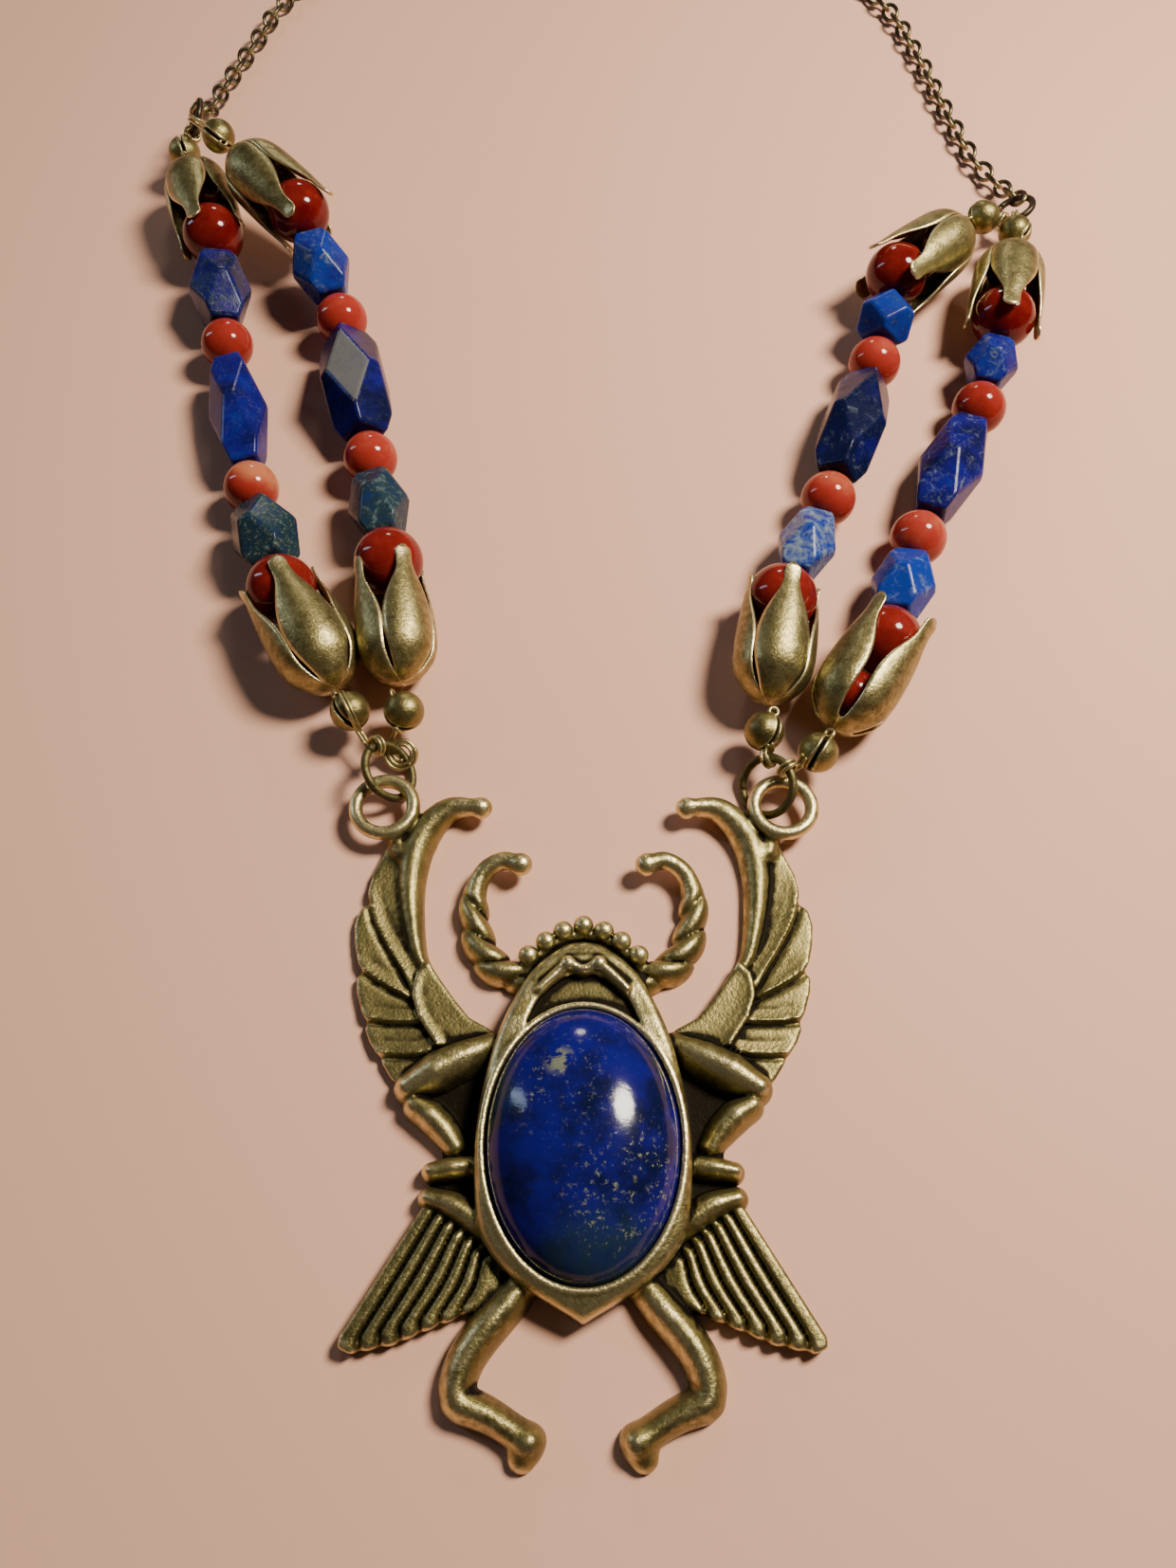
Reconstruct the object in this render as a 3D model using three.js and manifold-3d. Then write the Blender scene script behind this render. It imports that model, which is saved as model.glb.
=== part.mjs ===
// A winged scarab amulet lying on its back: a cast brass setting with an oval stone, hung by two jump
// rings from four short strands of stone beads in lotus caps, which meet a fine cable chain.
// Millimetres, +Z up. The origin is on the flat back of the setting under the middle of the stone,
// and +Y points past the head to the clasp.
import * as THREE from 'three';
import { mergeVertices } from 'three/addons/utils/BufferGeometryUtils.js';
import Module from 'manifold-3d';

const wasm = await Module();
wasm.setup();

// Driving sizes of the setting and its stone
const CLEARANCE = 0.3;
const STONE_HALF = [9, 12.5];
const STONE_FLOOR = 1.5;
const STONE_GIRDLE = 3.4;
const STONE_TOP = 8.6;
const STONE_BASE_SHARE = 0.96;
const BODY_HEIGHT = 4.1;
const BODY_BEVEL = 0.7;
const PANEL_FLOOR = 3.0;
const WING_PLATE = 0.9;
const FEATHER_HEIGHT = 1.5;
const RIB_COUNT = 7;
const RIB_HEIGHT = 1.6;
const CROWN_BEADS = 7;
const CROWN_BEAD_RADIUS = 0.95;
const CROWN_CENTRE = [0, 14.6, 2.1];
const CROWN_HALF = [6.3, 6.9];
const CROWN_STEP = 20;
const FEELER_RISE = 1.45;
const EYE_CENTRE = [21.1, 34.8, 2.4];
const EYE_RADIUS = 3.05;
const EYE_WIRE = 0.7;

// Driving sizes of the beads, caps, rings and chain
const LARGE_BEAD = 4.0;
const SMALL_BEAD = 3.3;
const CAP_BEAD = 2.9;
const LONG_LAPIS_HALF = 3.4;
const SMALL_LAPIS_HALF = 3.1;
const LAPIS_END_SHARE = 0.7;
const CAP_LENGTH = 15.7;
const CAP_NECK = 1.3;
const CAP_WALL = 0.4;
const CAP_BEAD_SEAT = 4.4;
const PETALS = 4;
const KNOT_RADIUS = 2.3;
const HOOK_RADIUS = 1.4;
const HOOK_WIRE = 0.33;
const HOOK_SIDES = 6;
const JUMP_RADIUS = 3.1;
const END_RADIUS = 2.55;
const RING_WIRE = 0.42;
const LINK_PITCH = 2.45;
const LINK_HALF = [1.3, 0.36];
const CLASP_CENTRE = [1.6, 209.5, 1.2];
const CLASP_LOOP = 2.2;
const CLASP_STRETCH = 1.6;
const CLASP_WIRE = 0.8;
const CLASP_EYE = 1.25;
const CLASP_EYE_WIRE = 0.45;
const UP = new THREE.Vector3(0, 0, 1);

// Finishes
const BRASS = { color: 0x7d6a35, roughness: 0.42, metalness: 1 };
const LAPIS = { color: 0x1a2a80, roughness: 0.2, metalness: 0 };
const CARNELIAN = { color: 0xa02814, roughness: 0.18, metalness: 0 };

const amulet = new THREE.Group();

function vector(point, side = 1) {
  return new THREE.Vector3(point[0] * side, point[1], point[2] ?? 0);
}

function addPiece(name, geometry, finish) {
  const mesh = new THREE.Mesh(geometry, new THREE.MeshStandardMaterial(finish));
  mesh.name = name;
  amulet.add(mesh);
  return mesh;
}

// Shared corners merged, collapsed triangles dropped and faces turned outwards
function weld(source) {
  const bare = source.clone();
  bare.deleteAttribute('normal');
  bare.deleteAttribute('uv');
  const merged = mergeVertices(bare, 1e-4);
  const spot = merged.getAttribute('position');
  const corner = [new THREE.Vector3(), new THREE.Vector3(), new THREE.Vector3()];
  const kept = [];
  let volume = 0;
  for (let i = 0; i < merged.index.count; i += 3) {
    const face = [0, 1, 2].map((k) => merged.index.getX(i + k));
    if (new Set(face).size < 3) continue;
    face.forEach((vertex, k) => corner[k].fromBufferAttribute(spot, vertex));
    volume += corner[0].dot(corner[1].cross(corner[2]));
    kept.push(face);
  }
  const turned = volume < 0 ? kept.map(([a, b, c]) => [a, c, b]) : kept;
  merged.setIndex(turned.flat());
  return merged;
}

function solid(source) {
  const welded = weld(source);
  const vertProperties = new Float32Array(welded.getAttribute('position').array);
  const triVerts = new Uint32Array(welded.index.array);
  return new wasm.Manifold(new wasm.Mesh({ numProp: 3, vertProperties, triVerts }));
}

function surface(body) {
  const mesh = body.getMesh();
  const geometry = new THREE.BufferGeometry();
  geometry.setAttribute('position', new THREE.BufferAttribute(mesh.vertProperties, 3));
  geometry.setIndex(new THREE.BufferAttribute(mesh.triVerts, 1));
  return weld(geometry);
}

function join(bodies) {
  return bodies.reduce((whole, body) => whole.add(body));
}

function fromGrid(points, faces) {
  const geometry = new THREE.BufferGeometry();
  geometry.setAttribute('position', new THREE.Float32BufferAttribute(points.flatMap((p) => p.toArray()), 3));
  geometry.setIndex(faces.flat());
  return geometry;
}

// Rings of equal count skinned one to the next and closed by a point before the first and after the last
function skin(rings, startPoint, endPoint) {
  const count = rings[0].length;
  const points = [...rings.flat(), startPoint, endPoint];
  const start = rings.length * count;
  const faces = [];
  for (let k = 0; k < count; k += 1) {
    const next = (k + 1) % count;
    for (let row = 0; row + 1 < rings.length; row += 1) {
      const [a, b] = [row * count + k, row * count + next];
      faces.push([a, b, b + count], [a, b + count, a + count]);
    }
    const last = (rings.length - 1) * count;
    faces.push([start, next, k], [start + 1, last + k, last + next]);
  }
  return fromGrid(points, faces);
}

function between(values, t) {
  if (!Array.isArray(values)) return values;
  const place = t * (values.length - 1);
  const low = Math.min(Math.floor(place), values.length - 2);
  return THREE.MathUtils.lerp(values[low], values[low + 1], place - low);
}

// A cast limb: an ellipse carried along a plan curve, with half widths and heights eased from station to
// station and a blunt point at each end
function limb({ path, width, height, steps = 4, sides = 6, blunt = 0.7, side = 1 }) {
  const curve = new THREE.CatmullRomCurve3(path.map((point) => vector(point, side)));
  const frames = [];
  for (let i = 0; i <= steps; i += 1) {
    const t = i / steps;
    const along = curve.getTangent(t).setZ(0).normalize();
    const across = new THREE.Vector3(-along.y, along.x, 0);
    const size = { width: between(width, t), height: between(height, t) };
    frames.push({ centre: curve.getPoint(t), along, across, ...size });
  }
  const rings = frames.map((frame) => Array.from({ length: sides }, (_, k) => {
    const turn = (2 * Math.PI * k) / sides;
    return frame.centre.clone()
      .addScaledVector(frame.across, frame.width * Math.cos(turn))
      .setZ(frame.centre.z + frame.height * Math.sin(turn));
  }));
  const first = frames[0];
  const last = frames[steps];
  const startPoint = first.centre.clone().addScaledVector(first.along, -blunt * first.width);
  const endPoint = last.centre.clone().addScaledVector(last.along, blunt * last.width);
  return solid(skin(rings, startPoint, endPoint));
}

function ball(point, radius, side = 1, around = 8, rows = 5) {
  const geometry = new THREE.SphereGeometry(radius, around, rows);
  const at = vector(point, side);
  return solid(geometry.translate(at.x, at.y, at.z));
}

// A flat plate inside a plan outline, from height low to height high
function plate(outline, low, high, side = 1) {
  const shape = new THREE.Shape(outline.map(([x, y]) => new THREE.Vector2(x * side, y)));
  const geometry = new THREE.ExtrudeGeometry(shape, { depth: high - low, bevelEnabled: false });
  return solid(geometry.translate(0, 0, low));
}

// The pointed egg of the beetle's body, half of it given from the tail point to the crown
function bodyFrame() {
  const half = [
    [4.6, -12.8], [7.3, -10.8], [9.2, -8.2], [9.85, -5], [10, 0], [9.5, 5], [8, 10.9], [5.4, 16.2],
    [2.2, 19.1],
  ];
  const mirrored = half.map(([x, y]) => [-x, y]).reverse();
  const upper = [...half, [0, 19.7], ...mirrored];
  const curve = new THREE.SplineCurve(upper.map(([x, y]) => new THREE.Vector2(x, y)));
  const shape = new THREE.Shape([new THREE.Vector2(0, -15.4), ...curve.getPoints(30)]);
  const bevel = { bevelThickness: BODY_BEVEL, bevelSize: BODY_BEVEL, bevelOffset: -BODY_BEVEL };
  const geometry = new THREE.ExtrudeGeometry(shape, { depth: BODY_HEIGHT, bevelSegments: 1, ...bevel });
  return solid(geometry.translate(0, 0, -BODY_BEVEL));
}

// The oval seat of the stone with the sunk panel of the head above it
function seatAndPanel() {
  const seat = new THREE.CylinderGeometry(1, 1, BODY_HEIGHT, 32).rotateX(Math.PI / 2);
  seat.scale(STONE_HALF[0] + CLEARANCE / 2, STONE_HALF[1] + CLEARANCE / 2, 1);
  seat.translate(0, 0, STONE_FLOOR - CLEARANCE + BODY_HEIGHT / 2);
  const arch = [
    [-5.7, 10.6], [-4.6, 13.2], [-3.1, 15.1], [0, 16.2], [3.1, 15.1], [4.6, 13.2], [5.7, 10.6], [0, 9.6],
  ];
  return solid(seat).add(plate(arch, PANEL_FLOOR, BODY_HEIGHT + 1));
}

function head() {
  const brow = limb({
    path: [[-4.3, 14.4, 3.2], [-1.5, 16.9, 3.3], [0, 16.4, 3.2], [1.5, 16.9, 3.3], [4.3, 14.4, 3.2]],
    width: [0.4, 0.55, 0.45, 0.55, 0.4], height: 0.8, steps: 6,
  });
  const eyes = [-1, 1].map((side) => ball([1.5, 17, 3.95], 0.62, side, 6, 4));
  const crown = [];
  for (let i = 0; i < CROWN_BEADS; i += 1) {
    const turn = THREE.MathUtils.degToRad(90 + CROWN_STEP * (i - (CROWN_BEADS - 1) / 2));
    const spread = [Math.cos(turn), Math.sin(turn)].map((part, axis) => part * CROWN_HALF[axis]);
    crown.push([CROWN_CENTRE[0] + spread[0], CROWN_CENTRE[1] + spread[1], CROWN_CENTRE[2]]);
  }
  const beads = crown.map((point) => ball(point, CROWN_BEAD_RADIUS, 1, 6, 3));
  const band = limb({ path: crown.map(([x, y]) => [x, y - 0.5]), width: 0.95, height: 2.4 });
  return join([brow, band, ...eyes, ...beads]);
}

// A curled feeler: a twisted rope below, smooth above, with a ball at the tip
function feeler(side) {
  const twist = [1.35, 1.65, 1.2, 1.7, 1.2, 1.6, 1.05, 0.95, 0.9, 0.8];
  const rope = limb({
    path: [
      [6.2, 16.4], [8.6, 17.4], [10.3, 19.4], [11.1, 22.2, 0.1], [11.3, 25, 0.7], [10.4, 27.5, 1.4],
      [8.5, 28.7, 2], [6.7, 28.3, 2.3],
    ],
    width: twist, height: twist.map((half) => half * FEELER_RISE), steps: 8, sides: 5, side,
  });
  return rope.add(ball([6.5, 28.2, 2.35], 1.2, side, 6, 4));
}

// A raised wing: the smooth leading arm, the shoulder leaf, five overlapping feathers and their back plate
function wing(side) {
  const arm = limb({
    path: [
      [11.2, 34.9, 2.1], [14.4, 34.8, 1.3], [17, 32.2, 0.4], [18, 28.4], [17.8, 24], [16.9, 19.4], [16, 17.4],
    ],
    width: [0.8, 1.4, 1.75, 1.65, 1.35, 1.05, 0.8],
    height: [1.1, 1.7, 2.2, 2.2, 2.1, 1.9, 1.7],
    steps: 6,
    side,
  });
  const leaf = limb({
    path: [[15.9, 17.2], [15.1, 14], [12.8, 11.5], [9.4, 10.2]],
    width: [0.6, 1.9, 2.2, 1.2], height: 1.9, side,
  });
  const feathers = [
    { path: [[17.6, 17], [19.4, 20.6], [20.8, 24.2], [21.1, 27.4], [20.3, 30.8]],
      width: [0.4, 1, 1.6, 1.35, 0.7] },
    { path: [[17.5, 15.6], [19.8, 17.4], [21.6, 20], [22.5, 23]], width: [0.5, 1.2, 1.6, 1.1] },
    { path: [[16.6, 13.2], [19.2, 13.9], [21.2, 14.9]], width: [1.3, 1.9, 2.3] },
    { path: [[15.6, 10.8], [18.4, 10.6], [20.3, 10.7]], width: [1.4, 1.6, 1.6] },
    { path: [[14.6, 8.8], [17.4, 8.2], [19.2, 7.7]], width: [1, 1.2, 1.3] },
  ].map((feather) => limb({
    ...feather, height: FEATHER_HEIGHT, steps: feather.width.length - 1, sides: 5, side,
  }));
  const back = [
    [17, 30], [20.6, 31], [22.2, 26.5], [23, 22], [22.4, 15], [21, 10], [18.4, 5.4], [13, 8], [16, 17],
  ];
  const eye = new THREE.TorusGeometry(EYE_RADIUS, EYE_WIRE, 5, 12);
  eye.translate(EYE_CENTRE[0] * side, EYE_CENTRE[1], EYE_CENTRE[2]);
  const tip = ball([10.9, 34.8, 2.1], 1.2, side, 6, 4);
  const lug = limb({ path: [[19, 30.6], [19.3, 32.6]], width: 1.1, height: 2.4, steps: 1, side });
  return join([plate(back, -1, WING_PLATE, side), arm, leaf, tip, lug, solid(eye), ...feathers]);
}

// The three legs of one side, with the thin web that backs the fore and middle ones
function legs(side) {
  const segments = [
    { path: [[9, 9.4], [12.1, 8], [14.7, 6.6], [16.7, 5.4]],
      width: [1.6, 1.9, 2, 1.5], height: [2.9, 3.5, 3.8, 3.1] },
    { path: [[16, 3.7], [14.4, 2.7], [13, 1.3], [12, -0.1]], width: [1.3, 1.5, 1.4, 1.1], height: 2.6 },
    { path: [[10.2, -1.8], [12.4, -2.1], [14.1, -2.4]], width: [1.2, 1.15, 1], height: 2.6 },
    { path: [[14.2, -4.75], [12, -5.4], [10, -6.6], [8.4, -8]], width: [1.1, 1.3, 1.4, 1.2], height: 2.8 },
    { path: [[5.4, -12], [7.2, -14.2], [9.2, -16.7], [10.5, -19.2], [10.8, -21.2]],
      width: [1.5, 1.8, 1.85, 1.75, 1.6], height: 3 },
    { path: [[10.3, -21.7], [8.2, -22.5], [6.2, -23.6], [4.8, -24.6]],
      width: [1.6, 1.45, 1.35, 1.4], height: 2.4 },
    { path: [[4.5, -24.4], [4.9, -25.3], [5.3, -26.2]], width: [1.3, 1.4, 1.3], height: [2.4, 2.2, 1.7] },
  ].map((segment) => limb({ ...segment, steps: segment.width.length - 1, side }));
  const web = [[8, 9], [15.5, 5], [13.4, 0.9], [13.2, -1.6], [13.9, -3.5], [13.3, -5.4], [8, -9]];
  return join([plate(web, -1, WING_PLATE, side), ...segments]);
}

// The fanned hind wing: ribs that spread from the middle leg to the slanted lower edge of a thin plate
function tailFan(side) {
  const [rootLow, rootHigh] = [[8.7, -10.6], [14.2, -6.4]];
  const [endLow, endHigh] = [[10.2, -14.2], [20.7, -17]];
  const ribs = [];
  for (let i = 0; i < RIB_COUNT; i += 1) {
    const t = i / (RIB_COUNT - 1);
    const root = rootLow.map((low, axis) => THREE.MathUtils.lerp(low, rootHigh[axis], t));
    const end = endLow.map((low, axis) => THREE.MathUtils.lerp(low, endHigh[axis], t));
    end[1] -= 0.5 * Math.sin(Math.PI * t);
    ribs.push(limb({ path: [root, end], width: [0.5, 0.85], height: RIB_HEIGHT, steps: 1, sides: 4, side }));
  }
  const back = [[14.8, -6], [21, -16.6], [20.4, -17.6], [16, -16.7], [9, -14.2], [7, -11], [11, -6]];
  return join([plate(back, -1, WING_PLATE, side), ...ribs]);
}

function setting() {
  const halves = [-1, 1].flatMap((side) => [feeler(side), wing(side), legs(side), tailFan(side)]);
  const whole = join([bodyFrame(), head(), ...halves]).subtract(seatAndPanel());
  const below = new THREE.BoxGeometry(100, 100, 20).translate(0, 0, -10);
  return surface(whole.subtract(solid(below)));
}

// An oval dome on a short straight girdle
function cabochon() {
  const profile = [new THREE.Vector2(0, STONE_FLOOR), new THREE.Vector2(STONE_BASE_SHARE, STONE_FLOOR)];
  const rows = 5;
  for (let i = 0; i <= rows; i += 1) {
    const rise = (Math.PI / 2) * (i / rows);
    const reach = i === rows ? 0 : Math.cos(rise);
    profile.push(new THREE.Vector2(reach, STONE_GIRDLE + (STONE_TOP - STONE_GIRDLE) * Math.sin(rise)));
  }
  const geometry = new THREE.LatheGeometry(profile, 18).rotateX(Math.PI / 2);
  const shrink = 1 - CLEARANCE / 2 / STONE_HALF[0];
  return weld(geometry.scale(STONE_HALF[0] * shrink, STONE_HALF[1] * shrink, 1));
}

// A square prism with its eight corners cut down to the middle of its long edges and on past the middle of
// its faces, which leaves a rhombus on each side and a small turned square at each end
function facetedBead(length, half) {
  const points = [];
  const addRing = (reach, level, turn) => {
    for (let k = 0; k < 4; k += 1) {
      const angle = (Math.PI / 2) * (k + turn);
      points.push(new THREE.Vector3(reach * Math.cos(angle), reach * Math.sin(angle), length * level));
    }
  };
  const rhombus = 0.5 / (2 - LAPIS_END_SHARE);
  addRing(half * Math.SQRT2, 0, 0.5);
  for (const way of [-1, 1]) {
    addRing(half, way * rhombus, 0);
    addRing(half * LAPIS_END_SHARE, way * 0.5, 0);
  }
  const faces = [[8, 9, 10], [8, 10, 11], [16, 17, 18], [16, 18, 19]];
  for (let k = 0; k < 4; k += 1) {
    const next = (k + 1) % 4;
    const before = (k + 3) % 4;
    faces.push([before, 4 + k, k], [before, k, 12 + k]);
    for (const tip of [4, 12]) {
      const [near, far] = [tip + k, tip + next];
      faces.push([k, near, far], [near, near + 4, far + 4], [near, far + 4, far]);
    }
  }
  return turnedOut(points, faces);
}

// A convex shape about its own origin, with each face wound to point away from the middle
function turnedOut(points, faces) {
  const outward = faces.map(([a, b, c]) => {
    const normal = points[b].clone().sub(points[a]).cross(points[c].clone().sub(points[a]));
    return normal.dot(points[a]) > 0 ? [a, b, c] : [a, c, b];
  });
  return weld(fromGrid(points, outward));
}

// A cap of four spoon-shaped petals that rise from one small cup; the axis is +Z from the cup to the tips
function lotusCap(splay) {
  const stations = [
    { rise: 0.03, radius: 2.1, width: (2.1 * Math.PI) / PETALS, cup: 0, open: 0 },
    { rise: 0.24, radius: 4.4, width: 3.2, cup: 0.3, open: 0 },
    { rise: 0.5, radius: 4.8, width: 3.2, cup: 0.2, open: 0 },
    { rise: 0.82, radius: 4.75, width: 1.2, cup: 0.1, open: 0.6 },
    { rise: 1, radius: 4.7, width: 1.1, cup: 0, open: 1 },
  ];
  const across = [-1, 0, 1];
  const points = [];
  const faces = [];
  const pointAt = (station, turn, inset) => {
    const radius = station.radius - inset;
    const height = CAP_LENGTH * station.rise;
    return new THREE.Vector3(radius * Math.cos(turn), radius * Math.sin(turn), height);
  };
  const layer = stations.length * across.length;
  for (let petal = 0; petal < PETALS; petal += 1) {
    const base = points.length;
    for (const wall of [0, CAP_WALL]) {
      for (const station of stations) {
        for (const u of across) {
          const turn = (2 * Math.PI * petal) / PETALS + (u * station.width) / station.radius;
          const inset = wall + station.cup * u * u - station.open * splay[petal];
          points.push(pointAt(station, turn, inset));
        }
      }
    }
    const quad = (a, b, c, d) => faces.push([a, b, c], [a, c, d]);
    const rim = [];
    for (let row = 0; row + 1 < stations.length; row += 1) {
      for (let k = 0; k + 1 < across.length; k += 1) {
        const a = base + row * across.length + k;
        quad(a, a + 1, a + 1 + across.length, a + across.length);
        quad(a + layer, a + layer + across.length, a + layer + across.length + 1, a + layer + 1);
      }
      rim.push([row * across.length + across.length, row * across.length]);
      rim.push([row * across.length + 2, row * across.length + across.length + 2]);
    }
    const tip = (stations.length - 1) * across.length;
    rim.push([tip + 1, tip], [tip + 2, tip + 1]);
    for (const [a, b] of rim) quad(base + b, base + a, base + a + layer, base + b + layer);
    const floor = new THREE.Vector3(0, 0, 0);
    const inner = new THREE.Vector3(0, 0, CAP_LENGTH * stations[0].rise + CAP_WALL);
    points.push(floor, inner);
    const centre = points.length - 2;
    for (let k = 0; k + 1 < across.length; k += 1) {
      faces.push([centre, base + k + 1, base + k]);
      faces.push([centre + 1, base + layer + k, base + layer + k + 1]);
    }
  }
  return weld(fromGrid(points, faces));
}

// A knot cover: a shut clamshell ball, with its hook bent into a long loop to -Z around a ring's wire
function knotCover(reach) {
  const shell = solid(new THREE.SphereGeometry(KNOT_RADIUS, 7, 5).rotateX(Math.PI / 2));
  const near = KNOT_RADIUS - HOOK_WIRE;
  const far = reach + RING_WIRE + 2 * CLEARANCE + HOOK_WIRE;
  const hook = new THREE.TorusGeometry(HOOK_RADIUS, HOOK_WIRE, 3, HOOK_SIDES);
  const halfSide = Math.PI / HOOK_SIDES;
  hook.rotateZ(halfSide).rotateY(Math.PI / 2);
  hook.scale(1, 1, (far - near) / 2 / HOOK_RADIUS / Math.cos(halfSide));
  hook.translate(0, 0, -(far + near) / 2);
  return surface(shell.add(solid(hook)));
}

// A cable chain kept plain: a bar whose four-cornered section is wide at one link and tall at the next,
// with the ring that its first link carries
function chain(points, ring) {
  const start = ringSpot(ring, 0).spot;
  const curve = new THREE.CatmullRomCurve3([start, ...points.map((point) => vector(point))]);
  const links = Math.round(curve.getLength() / LINK_PITCH);
  const rings = [];
  for (let i = 0; i <= links; i += 1) {
    const t = i / links;
    const along = curve.getTangentAt(t);
    const across = new THREE.Vector3(-along.y, along.x, 0).normalize();
    const up = along.clone().cross(across);
    const [wide, tall] = i % 2 === 0 ? LINK_HALF.toReversed() : LINK_HALF;
    rings.push([[wide, 0], [0, tall], [-wide, 0], [0, -tall]].map(([x, z]) => curve.getPointAt(t)
      .addScaledVector(across, x)
      .addScaledVector(up, z)));
  }
  const run = solid(skin(rings, curve.getPointAt(0), curve.getPointAt(1)));
  return surface(run.add(solid(ringGeometry(ring))));
}

// A claw clasp lying flat: a long loop with a small eye at its left end
function clasp() {
  const loop = new THREE.TorusGeometry(CLASP_LOOP, CLASP_WIRE, 5, 10).scale(CLASP_STRETCH, 1, 1);
  const eye = new THREE.TorusGeometry(CLASP_EYE, CLASP_EYE_WIRE, 4, 7);
  eye.translate(-CLASP_LOOP * CLASP_STRETCH - CLASP_WIRE - CLASP_EYE, 0, 0);
  return surface(solid(loop).add(solid(eye)));
}

// Rings: a radius, a centre, the plan heading of one end, and how far the ring leans about that heading
const RINGS = {
  left_pendant: { radius: JUMP_RADIUS, centre: [-20.9, 39, 2.6], heading: 92, lean: 44 },
  right_pendant: { radius: JUMP_RADIUS, centre: [19.6, 37.2, 2.55], heading: 116, lean: -44 },
  left_chain: { radius: END_RADIUS, centre: [-55.4, 141.6, 6.8], heading: 95, lean: 120 },
  right_chain: { radius: END_RADIUS, centre: [59.6, 126.2, 4], heading: 70, lean: -30 },
};

function ringFrame({ radius, centre, heading, lean }) {
  const out = new THREE.Vector3(1, 0, 0).applyAxisAngle(UP, THREE.MathUtils.degToRad(heading));
  const rise = UP.clone().cross(out).applyAxisAngle(out, THREE.MathUtils.degToRad(lean));
  return { radius, centre: vector(centre), out, rise };
}

// The point on a ring's wire at an angle from its heading, and the wire's direction there
function ringSpot(ring, degrees) {
  const { radius, centre, out, rise } = ringFrame(ring);
  const turn = THREE.MathUtils.degToRad(degrees);
  const [c, s] = [Math.cos(turn), Math.sin(turn)];
  const spot = centre.addScaledVector(out, radius * c).addScaledVector(rise, radius * s);
  return { spot, wire: rise.multiplyScalar(c).addScaledVector(out, -s) };
}

function ringGeometry(ring) {
  const { radius, centre, out, rise } = ringFrame(ring);
  const frame = new THREE.Matrix4().makeBasis(out, rise, out.clone().cross(rise)).setPosition(centre);
  return new THREE.TorusGeometry(radius, RING_WIRE, 5, 12).applyMatrix4(frame);
}

// Strands: the centres of the lower knot cover, large bead and small bead and of the upper small bead, large
// bead and knot cover and, for each end, the ring and angle that it hooks on, how far the cap is rolled and
// how far each of its petals stands open, from the upper one round
const STRANDS = {
  left_outer: {
    centres: [
      [-25.4, 45.5, 4.2], [-34.4, 61, 5.2], [-40.2, 77, 3.6], [-46.3, 100.8, 3.6], [-50.2, 119.3, 5.4],
      [-56.6, 136.3, 5.4],
    ],
    ends: [
      { ring: 'left_pendant', degrees: 36, roll: 0.15, splay: [0, 0, 0, 0] },
      { ring: 'left_chain', degrees: 204, roll: 0.35, splay: [0.2, 0.3, 0, 0.1] },
    ],
  },
  left_inner: {
    centres: [
      [-19.5, 45.5, 4.2], [-22.5, 64.8, 5.2], [-26.2, 81.7, 3.6], [-31.7, 104.7, 4.2], [-38, 119.8, 8.6],
      [-49.6, 131.6, 11.2],
    ],
    ends: [
      { ring: 'left_pendant', degrees: -18, roll: 0.55, splay: [0, 0, 0, 0] },
      { ring: 'left_chain', degrees: 148, roll: 0.65, splay: [0.2, 0.2, 0.2, 0.4] },
    ],
  },
  right_inner: {
    centres: [
      [19.4, 43, 4.2], [22.4, 59.7, 5.2], [29.3, 75.4, 3.6], [37.2, 97.6, 3.6], [41, 110.7, 6.2],
      [54, 121.8, 6.2],
    ],
    ends: [
      { ring: 'right_pendant', degrees: -36, roll: 0.15, splay: [0, 0, 0, 0] },
      { ring: 'right_chain', degrees: 150, roll: -0.75, splay: [1.2, 0.6, 1.6, 1.5] },
    ],
  },
  right_outer: {
    centres: [
      [25, 40.4, 4.2], [33.5, 54, 5.2], [39.4, 69.5, 3.6], [49.5, 89.9, 3.6], [54.2, 103.8, 5.4],
      [58.2, 119.9, 5.4],
    ],
    ends: [
      { ring: 'right_pendant', degrees: -88, roll: 0.9, splay: [0, 0, 0, 0] },
      { ring: 'right_chain', degrees: 196, roll: 0.03, splay: [0.2, 0.3, 0, 0.3] },
    ],
  },
};

// Chains: hand-set points along the table, from near the ring that holds a pair of strands to the clasp
const CHAINS = {
  left_chain: [
    [-55.6, 149.5, 2.8], [-54.6, 156.5, 1.7], [-50.8, 169.7, 1.45],
    [-47.6, 179, 1.45], [-36, 196, 1.45], [-19, 207, 1.45], [-7, 209.5, 1.45],
  ],
  right_chain: [
    [59.4, 133.4, 2], [56.4, 140.8, 1.45], [53.9, 151.6, 1.45],
    [51.2, 165.4, 1.45], [47.4, 178, 1.45], [36, 196, 1.45], [19, 207, 1.45], [7, 209.5, 1.45],
  ],
};

// Places a piece so that its own +Z runs along one direction and its +X lies as near as it can to another
function aim(piece, point, along, lean) {
  const side = along.clone().cross(lean).normalize();
  const frame = new THREE.Matrix4().makeBasis(side.clone().cross(along), side, along);
  piece.quaternion.setFromRotationMatrix(frame);
  piece.position.copy(point);
}

function bead(radius, around, rows) {
  return weld(new THREE.SphereGeometry(radius, around, rows));
}

// A faceted stone that fills the space between two round beads
function addLapis(name, half, from, fromRadius, to, toRadius) {
  const along = to.clone().sub(from);
  const length = along.length() - fromRadius - toRadius - 2 * CLEARANCE;
  along.normalize();
  const middle = from.clone().addScaledVector(along, fromRadius + CLEARANCE + length / 2);
  aim(addPiece(name, facetedBead(length, half), LAPIS), middle, along, UP);
}

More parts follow.
